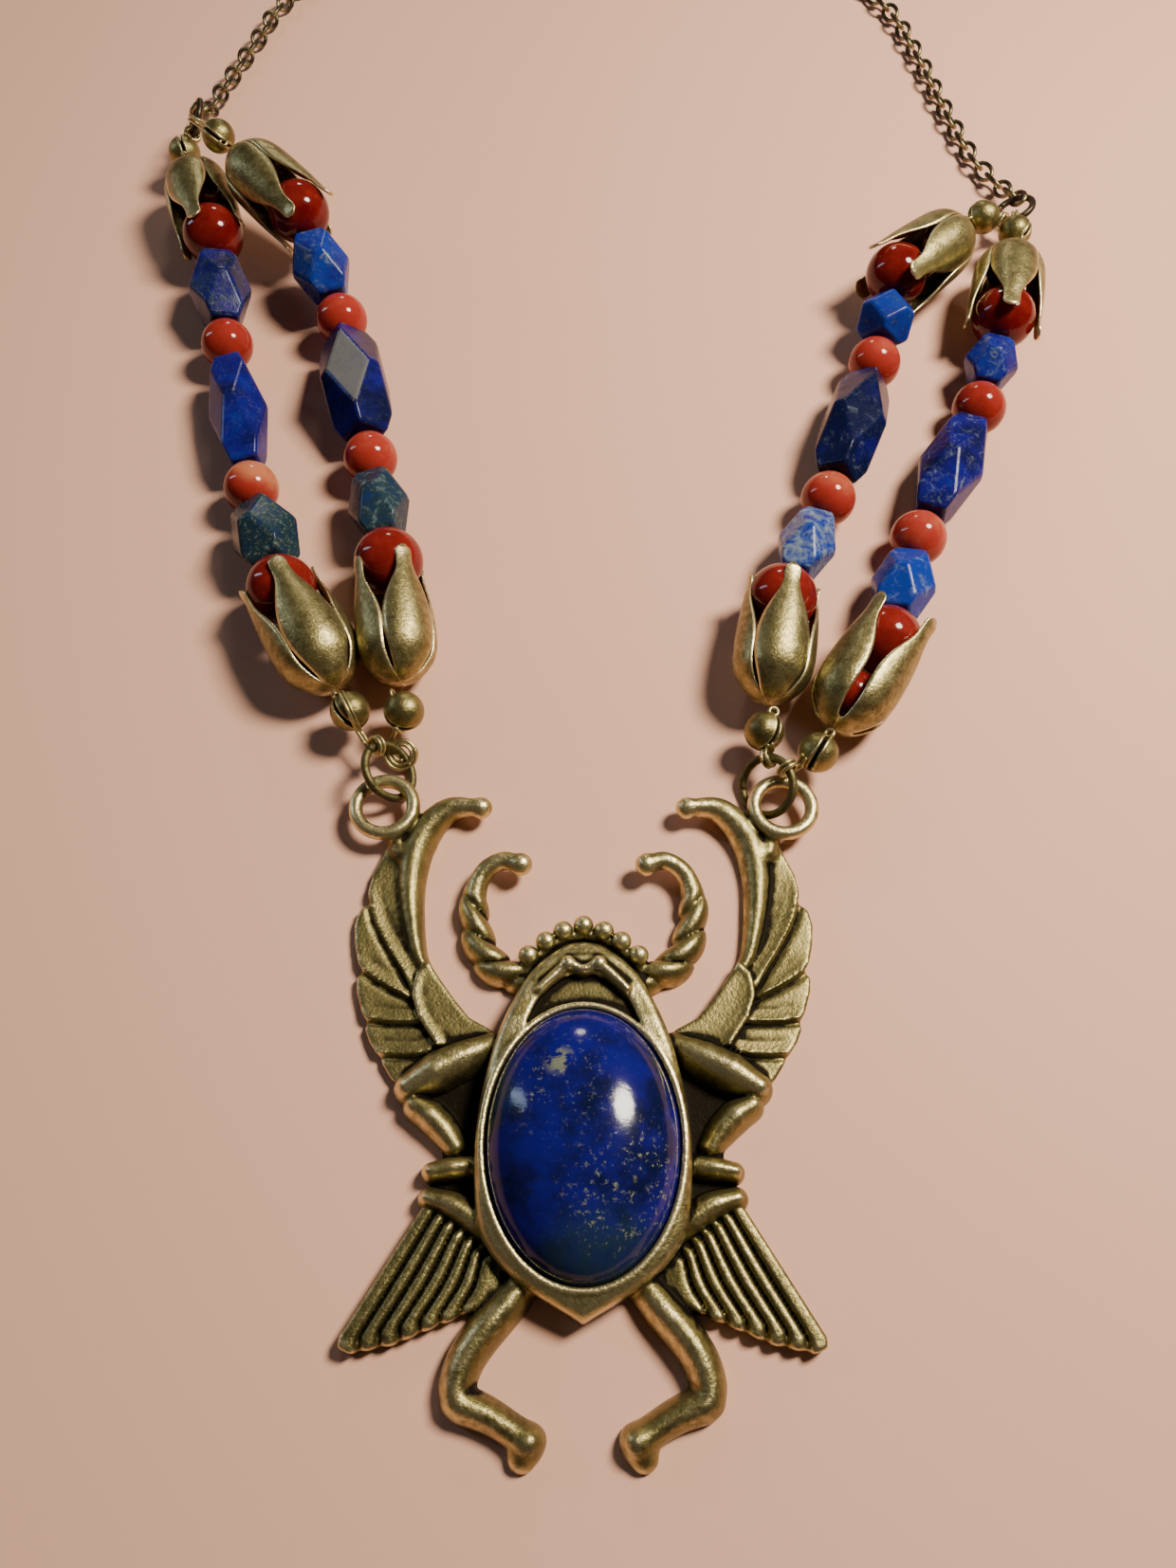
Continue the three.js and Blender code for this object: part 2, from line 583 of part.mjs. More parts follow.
// One end of a strand: the knot cover hooked on its ring, the cap set square to the large bead that it
// holds, the smaller bead in its cup, and the two stones that follow
function addStrandEnd(name, { ring, degrees, roll, splay }, [cover, large, small]) {
  const place = (piece, geometry, finish, point, along, lean) => {
    const mesh = addPiece(`${name}_${piece}`, geometry, finish);
    aim(mesh, point, along, lean);
    return mesh;
  };
  const { spot, wire } = ringSpot(RINGS[ring], degrees);
  const pull = cover.clone().sub(spot);
  place('knot_cover', knotCover(pull.length()), BRASS, cover, pull.normalize(), wire);

  const axis = large.clone().sub(cover).normalize();
  const base = cover.clone().addScaledVector(axis, KNOT_RADIUS + CAP_NECK);
  const inside = base.clone().addScaledVector(axis, CAP_BEAD_SEAT);
  place('lotus_cap', lotusCap(splay), BRASS, base, axis, UP).rotateZ(roll);
  place('cap_carnelian', bead(CAP_BEAD, 6, 3), CARNELIAN, inside, axis, UP);
  place('large_carnelian', bead(LARGE_BEAD, 8, 4), CARNELIAN, large, axis, UP);
  place('small_carnelian', bead(SMALL_BEAD, 8, 4), CARNELIAN, small, axis, UP);
  addLapis(`${name}_small_lapis`, SMALL_LAPIS_HALF, large, LARGE_BEAD, small, SMALL_BEAD);
}

function addStrand(name, { centres, ends }) {
  const spots = centres.map((point) => vector(point));
  addStrandEnd(`${name}_lower`, ends[0], spots.slice(0, 3));
  addStrandEnd(`${name}_upper`, ends[1], spots.slice(3).reverse());
  addLapis(`${name}_long_lapis`, LONG_LAPIS_HALF, spots[2], SMALL_BEAD, spots[3], SMALL_BEAD);
}

addPiece('scarab_setting', setting(), BRASS);
addPiece('lapis_cabochon', cabochon(), LAPIS);
for (const side of ['left', 'right']) {
  addPiece(`${side}_jump_ring`, weld(ringGeometry(RINGS[`${side}_pendant`])), BRASS);
  addPiece(`${side}_chain`, chain(CHAINS[`${side}_chain`], RINGS[`${side}_chain`]), BRASS);
}
Object.entries(STRANDS).forEach(([name, strand]) => addStrand(name, strand));
addPiece('clasp', clasp(), BRASS).position.set(...CLASP_CENTRE);

export default amulet;
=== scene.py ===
"""Looks of a winged scarab amulet: a cast brass setting with a lapis stone, on strands of stone beads.

Shapes are worked out in millimetres and written to the meshes in metres, in the frame of the solids: the
origin lies under the middle of the stone, +Y points past the head to the clasp and +Z is up.
"""
import math

import bmesh
import bpy
import numpy as np
from mathutils.geometry import delaunay_2d_cdt
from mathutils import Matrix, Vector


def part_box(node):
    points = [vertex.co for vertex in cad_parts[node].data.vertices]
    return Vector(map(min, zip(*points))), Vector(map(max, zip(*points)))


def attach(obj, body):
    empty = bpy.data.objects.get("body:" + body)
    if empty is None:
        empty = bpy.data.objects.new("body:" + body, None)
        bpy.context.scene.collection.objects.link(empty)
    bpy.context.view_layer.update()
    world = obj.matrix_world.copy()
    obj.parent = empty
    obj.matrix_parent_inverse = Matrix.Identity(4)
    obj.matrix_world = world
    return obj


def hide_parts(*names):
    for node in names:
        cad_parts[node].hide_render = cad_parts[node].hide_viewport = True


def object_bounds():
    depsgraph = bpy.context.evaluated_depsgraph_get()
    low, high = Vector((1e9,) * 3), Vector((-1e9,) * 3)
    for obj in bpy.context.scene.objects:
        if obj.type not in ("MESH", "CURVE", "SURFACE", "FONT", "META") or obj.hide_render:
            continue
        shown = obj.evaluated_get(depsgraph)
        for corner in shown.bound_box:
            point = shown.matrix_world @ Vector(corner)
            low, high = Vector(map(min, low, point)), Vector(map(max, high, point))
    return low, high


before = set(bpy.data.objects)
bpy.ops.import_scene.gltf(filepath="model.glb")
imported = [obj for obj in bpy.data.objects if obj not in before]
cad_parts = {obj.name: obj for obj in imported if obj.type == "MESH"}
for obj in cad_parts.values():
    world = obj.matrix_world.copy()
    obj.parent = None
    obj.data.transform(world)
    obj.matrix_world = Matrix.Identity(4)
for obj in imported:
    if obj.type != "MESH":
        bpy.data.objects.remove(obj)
cad_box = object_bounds()

bl_info = {
    "name": "Scarab Amulet",
    "version": (1, 0, 0),
    "blender": (4, 5, 0),
    "location": "View3D > Sidebar > Amulet",
    "description": "Builds the visible surfaces of a winged scarab amulet on its bead strands",
    "category": "Object",
}

MM = 0.001
UP = np.array([0.0, 0.0, 1.0])
CLEARANCE = 0.02

# Outlines and limbs of the cast setting, right half, in plan
BODY_HALF = [
    [0, -15.4], [1.9, -14.35], [4.6, -12.8], [7.3, -10.8], [9.2, -8.2], [9.85, -5], [10, 0], [9.5, 5],
    [8, 10.9], [5.4, 16.2], [2.2, 19.1], [0, 19.7],
]
STONE_HALF = [9.02, 12.52]
STONE_LEVELS = [1.5, 3.2, 8.6]
STONE_UNDERSIDE = [[0, 0], [0.95, 0], [0.99, 0.15], [1.0, 0.5]]
SEAT_FLOOR = 1.2
SEAT_PLAY = 0.06
RIM = {"shift": 0.4, "half": 0.36, "rise": 0.2, "dip": 0.5}
HEAD_SLOPE = {"start": 7, "run": 12.5, "drop": 0.75}
TAIL_SLOPE = {"start": 0.9, "steepness": 0.4, "run": 6}
PANEL_ARCH = [
    [-5.7, 10.6], [-4.6, 13.2], [-3.1, 15.1], [0, 16.2], [3.1, 15.1], [4.6, 13.2], [5.7, 10.6], [0, 9.6],
]
PANEL_FLOOR = 2.95
BROW = [[-4.3, 14.4], [-3.1, 15.6], [-1.52, 16.9], [0, 16.4], [1.52, 16.9], [3.1, 15.6], [4.3, 14.4]]
BROW_WIDTHS = [0.5, 0.6, 0.66, 0.56, 0.66, 0.6, 0.5]
BROW_EYE = {"centre": [1.52, 17, 3.95], "radius": 0.78}
CROWN = [[0, 21.5], [2.05, 20.9], [3.8, 19.8], [5.5, 18.35]]
CROWN_BEAD = {"height": 2.4, "radius": 1.02}
FEELER = [
    [6.2, 16.4], [8.6, 17.4], [10.3, 19.4], [11.1, 22.2], [11.3, 25], [10.4, 27.5], [8.5, 28.7],
    [6.7, 28.3],
]
FEELER_WIDTHS = [1.5, 1.75, 1.7, 1.6, 1.4, 1.05, 0.95, 0.95]
FEELER_HEIGHTS = [2.3, 2.5, 2.3, 2.2, 1.8, 1.3, 1.1, 1.0]
FEELER_LEVELS = [0, 0, 0, 0.1, 0.7, 1.4, 2.0, 2.3]
FEELER_TIP = {"centre": [6.5, 28.2, 2.35], "radius": 1.2}
ROPE = {"lobes": 5.4, "depth": 0.55, "end": 0.64}
WING_ARM = [[11.2, 34.9], [14.4, 34.8], [17, 32.2], [18, 28.4], [17.8, 24], [16.9, 19.4], [16, 17.4]]
ARM_WIDTHS = [0.85, 1.4, 1.78, 1.68, 1.38, 1.1, 0.8]
ARM_HEIGHTS = [1.1, 1.7, 2.2, 2.25, 2.15, 2, 1.8]
ARM_LEVELS = [2.1, 1.3, 0.4, 0, 0, 0, 0]
ARM_TIP = {"centre": [10.9, 34.8, 2.1], "radius": 1.18}
WING_LEAF = [
    [15.5, 17.9], [16.7, 16.7], [17, 14.5], [16.2, 12.2], [14.2, 9.3], [9, 9.6], [9, 11], [11.2, 12.2],
    [12.7, 14], [14.4, 16.3],
]
LEAF_HEIGHT = 1.85
LEAF_RIM = 0.45
WING_PLATE = [
    [17, 31], [19.6, 31.3], [20.9, 30.3], [22, 27.6], [22.3, 25.4], [22.1, 24.6], [23.1, 23.6], [23.45, 22],
    [23.2, 19.9], [22.7, 18], [22.2, 17.3], [22.75, 16.4], [22.6, 15], [21.9, 12.9], [21.4, 12.1],
    [21.45, 11.2], [20.9, 9.9], [20.2, 8.9], [19.8, 8.5], [19.5, 7.8], [18.6, 6.4], [17.3, 5.3], [13, 8],
    [16, 17],
]
FEATHER_ENDS = [
    [[22.9, 27], [22.2, 25], [21.3, 22.2], [19.55, 19.1], [18.1, 16.9], [16.8, 14.6]],
    [[24, 18.3], [22.5, 17.4], [21, 16.3], [19.1, 15.2], [17.4, 14.4], [15.8, 13.7]],
    [[23, 12.5], [21.6, 12.2], [19.5, 11.9], [16.8, 11.8], [15, 11.9]],
    [[21.8, 8.8], [20.1, 8.7], [18, 8.55], [15.3, 8.8], [13.5, 9.9]],
]
EYE_RING = {"centre": [21.1, 34.8, 2.4], "radius": 3.05, "wire": 0.74}
EYE_NECK = [[19.4, 30], [19.7, 32.2]]

# Legs: path in plan, half widths and heights at even stations, blend with the metal around
LEGS = [
    ([[9, 9.4], [12.1, 8], [14.7, 6.6], [16.7, 5.4]], [1.65, 2.0, 2.1, 1.6], [2.9, 3.5, 3.8, 3.1], 0.14),
    ([[16, 3.7], [14.4, 2.7], [13, 1.3], [12, -0.1]], [1.35, 1.6, 1.5, 1.2], [2.7, 2.9, 2.6, 2.3], 0.14),
    ([[10.2, -1.8], [12.4, -2.1], [14.1, -2.4]], [1.25, 1.2, 1.05], [2.4, 2.8, 2.6], 0.1),
    ([[14.2, -4.75], [12, -5.4], [10, -6.6], [8.4, -8]], [1.15, 1.4, 1.55, 1.3], [2.6, 3.0, 3.0, 2.6], 0.1),
    ([[5.4, -12], [6.9, -13.9], [8.7, -15.9], [10.2, -18], [10.9, -20], [10.8, -21.4]],
     [1.6, 1.75, 1.8, 1.75, 1.7, 1.6], [2.6, 3.0, 3.2, 3.2, 3.0, 2.8], 0.14),
    ([[10.3, -21.7], [8.2, -22.5], [6.2, -23.6], [4.8, -24.6]],
     [1.65, 1.5, 1.4, 1.45], [2.8, 2.6, 2.4, 2.4], 0.14),
    ([[4.5, -24.4], [4.9, -25.2], [5.2, -25.7]], [1.35, 1.4, 1.3], [2.4, 2.2, 1.7], 0.6),
]
# The thin web between the legs; the casting's colour paints it in deep shade
LEG_WEB = [[8, 9], [15.5, 5], [13.4, 0.9], [13.2, -1.6], [13.9, -3.5], [13.3, -5.4], [8, -9]]
WEB_HEIGHT = 0.6
FAN_ROOTS = [[8.7, -10.4], [14.2, -6]]
FAN_ENDS = [[10.2, -14.2], [20.7, -17]]
FAN_PLATE = [
    [14.8, -5.6], [21.4, -16.4], [21.4, -17.3], [20.3, -17.8], [16.6, -17.1], [13.5, -15.8],
    [9.4, -14.2], [6, -12], [8, -7], [11, -5.6],
]
FAN_RIBS = 7
FAN_BOW = [0.35, 0.15]
FAN_FLOOR = 1.1
FAN_RISE = 0.85

# Rings: a centre, the plan heading of one end in degrees and the lean about that heading
RINGS = {
    "left_pendant": ([-20.9, 39, 2.6], 92, 44),
    "right_pendant": ([19.6, 37.2, 2.55], 116, -44),
    "left_chain": ([-55.4, 141.6, 6.8], 95, 120),
    "right_chain": ([59.6, 126.2, 4], 70, -30),
}
RING_CUT = 62
RING_SWEEP = 357

# Strand ends: ring, angle on it, cap roll, splay of each petal, knot seam in degrees, small bead's tones
STRAND_ENDS = {
    "left_outer_lower": ("left_pendant", 36, 0.15, [-0.3, -0.3, -0.5, -0.3], -40, (0.2, 0.95)),
    "left_outer_upper": ("left_chain", 204, 0.35, [0.2, 0.3, 0.0, 0.1], 0, (0.42, 0.5)),
    "left_inner_lower": ("left_pendant", -30, 0.55, [-0.4, -0.4, -0.4, -0.4], -75, (0.5, 0.68)),
    "left_inner_upper": ("left_chain", 148, 0.65, [0.0, 0.2, 0.2, 0.4], 40, (0.55, 0.62)),
    "right_inner_lower": ("right_pendant", -36, 0.15, [-0.4, -0.3, -0.5, -0.3], 40, (0.42, 0.75)),
    "right_inner_upper": ("right_chain", 150, -0.75, [0.9, 0.5, 1.6, 1.2], 60, (0.5, 0.62)),
    "right_outer_lower": ("right_pendant", -88, 0.9, [0.1, -0.3, -0.4, -0.3], 5, (0.6, 0.7)),
    "right_outer_upper": ("right_chain", 196, 0.03, [0.2, 0.3, 0.0, 0.3], -50, (0.3, 0.4)),
}
STRANDS = ["left_outer", "left_inner", "right_inner", "right_outer"]

# Round beads, and how far the cup of a cap and then the knot cover lie below the innermost bead
BEAD_RADII = {"cap": 2.9, "large": 4.0, "small": 3.3}
BEAD_GAP = 0.15
STONE_LOWEST = 0.05
CUP_DROP = 4.4
KNOT_DROP = 3.6

# A petal by height: share of the length, radius, half width and share of the splay
PETAL = [
    [0, 0.05, 0.05, 0], [0.012, 1.05, 0.83, 0], [0.035, 1.95, 1.5, 0], [0.07, 2.65, 1.9, 0],
    [0.15, 3.7, 2.65, 0], [0.22, 4.25, 3.15, 0], [0.31, 4.55, 3.5, 0.03], [0.43, 4.65, 3.55, 0.12],
    [0.56, 4.65, 3.05, 0.28], [0.68, 4.6, 2.15, 0.48], [0.79, 4.5, 1.3, 0.68], [0.89, 4.4, 1.05, 0.86],
    [1, 4.5, 1.15, 1],
]
PETAL_GRID = (45, 15)
PETAL_LOWEST = 0.32
PETAL_FOOT = 0.035
PETAL_ROUNDING = {"start": 0.93, "run": 0.072}
PETAL_BEND = 0.3

# Knot covers laced over from their hinge, and the spiral of the hooks: widest radius and turns
LACED = ["left_outer_lower"]
HOOK_CURL = (1.1, 1.5)
HOOK_CURLS = {"left_inner_lower": (1.85, 2.3)}
HOOK_NARROWEST = 0.72
STRIP_WIRE = 0.2
STRIP_SHIFT = 0.26

# Seam of a knot cover: slit and lips by angle from the seam, sunk and raised by shares of the radius
SLIT = {"half": 0.075, "depth": 0.32}
LIP = {"place": 0.17, "half": 0.06, "height": 0.04}
HINGE_RADIUS = 0.48

# Caps whose petals are slimmer than the rest: the share of the width
SLIM_PETALS = {"right_outer_lower": 0.84}

# Chains: points along the table from near the ring of a pair of strands to the clasp
CHAINS = {
    "left_chain": [
        [-55.6, 149.5, 2.8], [-54.6, 156.5, 1.7], [-50.8, 169.7, 1.45],
        [-47.6, 179, 1.45], [-36, 196, 1.45], [-19, 207, 1.45], [-7, 209.5, 1.45],
    ],
    "right_chain": [
        [59.4, 133.4, 2], [56.4, 140.8, 1.45], [53.9, 151.6, 1.45], [51.2, 165.4, 1.45],
        [47.4, 178, 1.45], [36, 196, 1.45], [19, 207, 1.45], [7, 209.5, 1.45],
    ],
}
LINK_HALF_WIDTH = 1.0
LINK_OVERLAP = 1.45
CLASP_CENTRE = [1.6, 209.5, 1.2]
CLAW_HALF = [3.52, 2.12]
CLASP_EYE = {"shift": [-5.57, 0, 0], "radius": 1.25, "wire": 0.44}
LEVER = [[2.6, 1.5, 0.2], [2.2, 2.2, 0.5], [1.2, 2.45, 0.6]]
LEVER_WIRE = 0.32

# Tone of the beads in the upper and the lower caps, and the direction towards which every bead is painted
# lighter, a painted light side
CAP_TONES = {"upper": 0.12, "lower": 0.2}
PAINTED_LIGHT_SIDE = [0.45, 0.75, 0.5]

# Faceted stones: blue, paleness, green, pyrite, roll in degrees, frost and painted reflection on the top
# facet, share of the width
LAPIS_TONES = {
    "left_outer_upper_small": (0.35, 0.0, 0.4, 0.4, 28, 0, 1.08),
    "left_outer_long": (0.5, 0.0, 0.2, 0.15, 40, 0, 0.9),
    "left_outer_lower_small": (0.4, 0.1, 0.75, 1.0, 20, 0, 1.12),
    "left_inner_upper_small": (0.7, 0.25, 0.3, 0.3, 45, 0, 1.04),
    "left_inner_long": (0.3, 0.0, 0.2, 0.1, -6, 1, 1.13),
    "left_inner_lower_small": (0.55, 0.25, 0.75, 0.3, 35, 0, 1.0),
    "right_inner_upper_small": (0.75, 0.1, 0.3, 0.2, 0, 0, 1.1),
    "right_inner_long": (0.15, 0.1, 0.2, 0.15, 12, 0, 1.04),
    "right_inner_lower_small": (0.75, 0.65, 0.2, 0.2, 40, 0, 0.93),
    "right_outer_upper_small": (0.6, 0.25, 0.25, 0.3, 45, 0, 0.92),
    "right_outer_long": (0.4, 0.2, 0.1, 0.3, 38, 0, 0.96),
    "right_outer_lower_small": (0.95, 0.3, 0.0, 0.2, 30, 0, 1.0),
}

# The camera and where its picture is aimed, as found from the outline of the stone
PHOTO_SIZE = (1240, 1654)
FOCAL_PIXELS = 1290
SENSOR_LONG_SIDE = 36
CAMERA_PLACE = [0.45, -21.87, 119]
CAMERA_TILT = 27
CAMERA_NEAR = 0.005

# Lamps: the setting with the power, direction, distance and size in metres, and tint
LAMPS = {
    "key_lamp": ("key", [0.535, 0.277, 0.798], 0.36, (0.094, 0.107), (1.0, 0.9, 0.76)),
    "back_lamp": ("back", [-0.04, 0.915, 0.402], 0.75, (0.09, 0.07), (1.0, 0.93, 0.84)),
    "window": ("window", [-0.832, 0.385, 0.4], 0.7, (0.07, 0.34), (0.62, 0.78, 1.0)),
}
LAMP_AIM = [0, 40, 5]
ROOM_TINT = (1.0, 0.92, 0.85, 1.0)
TABLE_HALF = 3


def length(name, description, millimetres):
    return bpy.props.FloatProperty(
        name=name, description=description, default=millimetres * MM, unit="LENGTH", precision=5)


def colour(name, description, value):
    return bpy.props.FloatVectorProperty(
        name=name, description=description, default=value, subtype="COLOR", size=3, min=0, max=1)


def amount(name, description, value):
    return bpy.props.FloatProperty(name=name, description=description, default=value, min=0)


class AmuletMetal(bpy.types.PropertyGroup):
    """Sizes and colours of the metal pieces."""
    grid_step: length("Casting grid", "Spacing of the grid that the casting is worked out on", 0.215)
    feather_height: length("Feather height", "Height of the feathers above the table", 1.6)
    feather_rim: length("Feather rim", "Rise of each feather towards its free edge", 0.42)
    body_height: length("Body height", "Height of the frame around the stone", 4.05)
    cap_length: length("Cap length", "Length of a lotus cap from its cup to the tips of its petals", 15.7)
    cap_wall: length("Cap wall", "Thickness of the sheet that the caps are pressed from", 0.28)
    knot_radius: length("Knot cover radius", "Outside radius of the clamshell knot covers", 2.17)
    jump_radius: length("Jump ring radius", "Radius of the rings on the wings to mid wire", 3.1)
    end_radius: length("End ring radius", "Radius of the rings on the chain to mid wire", 2.42)
    ring_wire: length("Ring wire", "Radius of the wire of the rings", 0.46)
    link_pitch: length("Link pitch", "Distance from one chain link to the next", 2.45)
    link_wire: length("Link wire", "Radius of the wire of the chain links", 0.3)
    olive: colour("Brass", "Brass under its patina", (0.28, 0.236, 0.088))
    # Rubbed brass; on the high parts of the casting it also stands for a painted highlight
    gold: colour("Rubbed brass", "Brass where it is rubbed bright", (0.7, 0.6, 0.3))
    # Dark patina, which also paints the shade in the hollows of the casting and on the web between the legs
    patina_and_shade_colour: colour("Patina", "Dark patina in the recesses", (0.011, 0.008, 0.004))
    bronze: colour("Chain bronze", "Darkened wire of the chain", (0.05, 0.037, 0.023))


class AmuletStone(bpy.types.PropertyGroup):
    """Sizes and colours of the stones."""
    long_half: length("Long stone", "Half width of the long faceted stones", 3.4)
    small_half: length("Small stone", "Half width of the small faceted stones", 3.1)
    facet_edge: length("Facet edge", "Width of the softened edges between facets", 0.42)
    corner_share: amount("Corner share", "Width of a faceted stone's rhombus as a share of its side", 0.72)
    end_share: amount("End share", "Width of a faceted stone's ends as a share of its middle", 0.76)
    navy: colour("Navy", "Darkest lapis", (0.004, 0.006, 0.036))
    ultramarine: colour("Ultramarine", "Deep blue lapis", (0.009, 0.006, 0.15))
    cobalt: colour("Cobalt", "Brightest blue of the faceted stones", (0.008, 0.032, 0.27))
    teal: colour("Teal", "Greenish lapis", (0.014, 0.034, 0.042))
    pale: colour("Pale lapis", "Whitish lapis", (0.2, 0.26, 0.31))
    pyrite: colour("Pyrite", "Greenish grey flecks in the lapis", (0.23, 0.25, 0.17))
    # Grey of one long stone's top facet: partly frost, partly a painted reflection
    frosted_reflection: colour("Frost", "Grey facet of one long stone", (0.13, 0.13, 0.125))
    # The carnelian colours are picked by each bead's tone and by a painted lighter side
    wine: colour("Wine red", "Darkest carnelian", (0.1, 0.003, 0.004))
    orange: colour("Orange", "Middle carnelian", (0.34, 0.032, 0.022))
    amber: colour("Amber", "Lightest carnelian", (0.5, 0.16, 0.075))


class AmuletStage(bpy.types.PropertyGroup):
    """The floor and the lights."""
    floor: colour("Floor", "Plain pale table", (0.8, 0.45, 0.315))
    key: amount("Key light", "Power of the lamp on the right in watts", 2.4)
    back: amount("Back light", "Power of the small lamp past the clasp in watts", 0.5)
    window: amount("Window light", "Power of the cool light on the left in watts", 0.6)
    ambient: amount("Ambient", "Strength of the light from all around", 0.035)


class Value:
    """A socket's value that changes over a surface; arithmetic on it adds Math nodes."""

    def __init__(self, finish, socket):
        self.finish = finish
        self.socket = socket

    def math(self, operation, *inputs):
        return self.finish.node("ShaderNodeMath", {"operation": operation}, dict(enumerate(inputs)))

    def __add__(self, other):
        return self.math("ADD", self, other)

    def __sub__(self, other):
        return self.math("SUBTRACT", self, other)

    def __rsub__(self, other):
        return self.math("SUBTRACT", other, self)

    def __mul__(self, other):
        return self.math("MULTIPLY", self, other)

    __radd__ = __add__

    def between(self, low, high):
        """0 below low, 1 above high, and even in between."""
        sockets = {0: self, 1: low, 2: high, 3: 0.0, 4: 1.0}
        return self.finish.node("ShaderNodeMapRange", {"interpolation_type": "SMOOTHSTEP"}, sockets)


class Finish:
    """A material whose varying values are written as expressions."""

    def __init__(self, name, **constants):
        self.material = bpy.data.materials.new(name)
        self.material.use_nodes = True
        self.tree = self.material.node_tree
        self.shader = self.tree.nodes["Principled BSDF"]
        self.place = self.node("ShaderNodeTexCoord", {}, {}, "Object")
        self.set(**constants)

    def node(self, kind, settings, sockets, output=0):
        made = self.tree.nodes.new(kind)
        for key, value in settings.items():
            setattr(made, key, value)
        for key, value in sockets.items():
            self.feed(made.inputs[key], value)
        return Value(self, made.outputs[output])

    def feed(self, socket, value):
        if isinstance(value, Value):
            self.tree.links.new(value.socket, socket)
        else:
            socket.default_value = value

    def set(self, **values):
        for key, value in values.items():
            self.feed(self.shader.inputs[key.replace("_", " ").title().replace("Ior", "IOR")], value)

    def noise(self, millimetres, detail=3.0, roughness=0.55, distortion=0.0):
        sockets = {"Vector": self.place, "Scale": 1 / (millimetres * MM), "Detail": detail,
                   "Roughness": roughness, "Distortion": distortion}
        return self.node("ShaderNodeTexNoise", {}, sockets)

    def attribute(self, name):
        return self.node("ShaderNodeAttribute", {"attribute_name": name}, {}, "Fac")

    def mix(self, factor, first, second):
        first, second = [v if isinstance(v, Value) else (*v, 1.0) for v in (first, second)]
        return self.node("ShaderNodeMix", {"data_type": "RGBA"}, {0: factor, 6: first, 7: second}, 2)

    def near(self, centre, radius):
        """1 at a point given in millimetres, falling to 0 at a radius around it."""
        sockets = {0: self.place, 1: [c * MM for c in centre]}
        away = self.node("ShaderNodeVectorMath", {"operation": "DISTANCE"}, sockets, "Value")
        return 1 - away.between(0.25 * radius * MM, radius * MM)

    def bump(self, height, millimetres):
        sockets = {"Height": height, "Distance": millimetres * MM, "Strength": 1.0}
        self.set(normal=self.node("ShaderNodeBump", {}, sockets))


def brass_finish(metal):
    """Antiqued brass, grainy all over: patina and painted shade by the dirt attribute, rubbed gold and a
    painted highlight by the wear attribute.
    """
    finish = Finish("worn_brass", metallic=0.92)
    cloud = finish.noise(5.0)
    grain = finish.noise(0.9, 5.0, 0.7)
    speck = finish.noise(0.3, 3.0, 0.6)
    wear = finish.attribute("wear")
    dirt = finish.attribute("dirt")
    # Rubbed gold from wear, and a painted highlight where the casting stands high
    brightened = (wear + (grain - 0.5) * 1.1).between(0.05, 0.95)
    # Real patina together with painted shade in the hollows and on the leg web, mixed towards the dark
    # patina colour
    dark_share = (dirt + (grain - 0.5) * 0.9 + (cloud - 0.5) * 0.4).between(0.2, 0.9)
    dull = [c * 0.6 for c in metal.olive]
    toned = finish.mix((cloud * 0.6 + grain * 0.4).between(0.38, 0.6), dull, metal.olive)
    bright = finish.mix(brightened, toned, metal.gold)
    finish.set(base_color=finish.mix(dark_share, bright, metal.patina_and_shade_colour))
    finish.set(roughness=0.4 + (speck - 0.5) * 0.3 + dark_share * 0.25 - brightened * 0.08)
    finish.bump(speck * 0.6 + grain * 0.4, 0.09)
    return finish.material


def bronze_finish(metal):
    """Darkened bronze wire with rubbed crests."""
    finish = Finish("dark_bronze")
    grain = finish.noise(0.8, 3.0)
    brightened = (finish.attribute("wear") + (grain - 0.5) * 0.8).between(0.5, 1.2)
    finish.set(base_color=finish.mix(brightened, metal.bronze, [c * 0.6 for c in metal.gold]))
    finish.set(metallic=0.95, roughness=0.32 + grain * 0.2)
    finish.bump(grain, 0.02)
    return finish.material


def stone_finish(stone):
    """The oval stone: ultramarine with navy clouds, a teal left side and flecks of pyrite."""
    finish = Finish("lapis_stone", specular_ior_level=0.3)
    cloud = finish.noise(5.0, 4.0, 0.6)
    streak = finish.noise(2.0, 5.0, 0.65, 0.6)
    fleck = finish.noise(0.55, 4.0, 0.75)
    blue = finish.mix(cloud.between(0.33, 0.6), stone.navy, stone.ultramarine)
    green = finish.near([-9, 4, 4], 6.0) * 0.9 + finish.near([1.5, -11, 4.5], 9.5) * 0.75
    toned = finish.mix((green * (0.3 + streak)).between(0.1, 0.9), blue, stone.teal)
    speckled = finish.near([4.5, -5, 7], 9.0) + finish.near([-2.5, 5, 8], 7.5) * 0.7
    patch = finish.near([-2.1, 6.4, 7.4], 2.0) * streak.between(0.44, 0.52)
    flecked = fleck.between(0.54, 0.66) * (speckled * streak.between(0.4, 0.58) + 0.1)
    gold = (flecked * 0.8 + patch * 0.7).between(0.0, 0.9)
    finish.set(base_color=finish.mix(gold, toned, stone.pyrite))
    finish.set(metallic=gold * 0.3, roughness=0.12 + gold * 0.2)
    finish.bump(streak * 0.3 + cloud * 0.7, 0.05)
    return finish.material


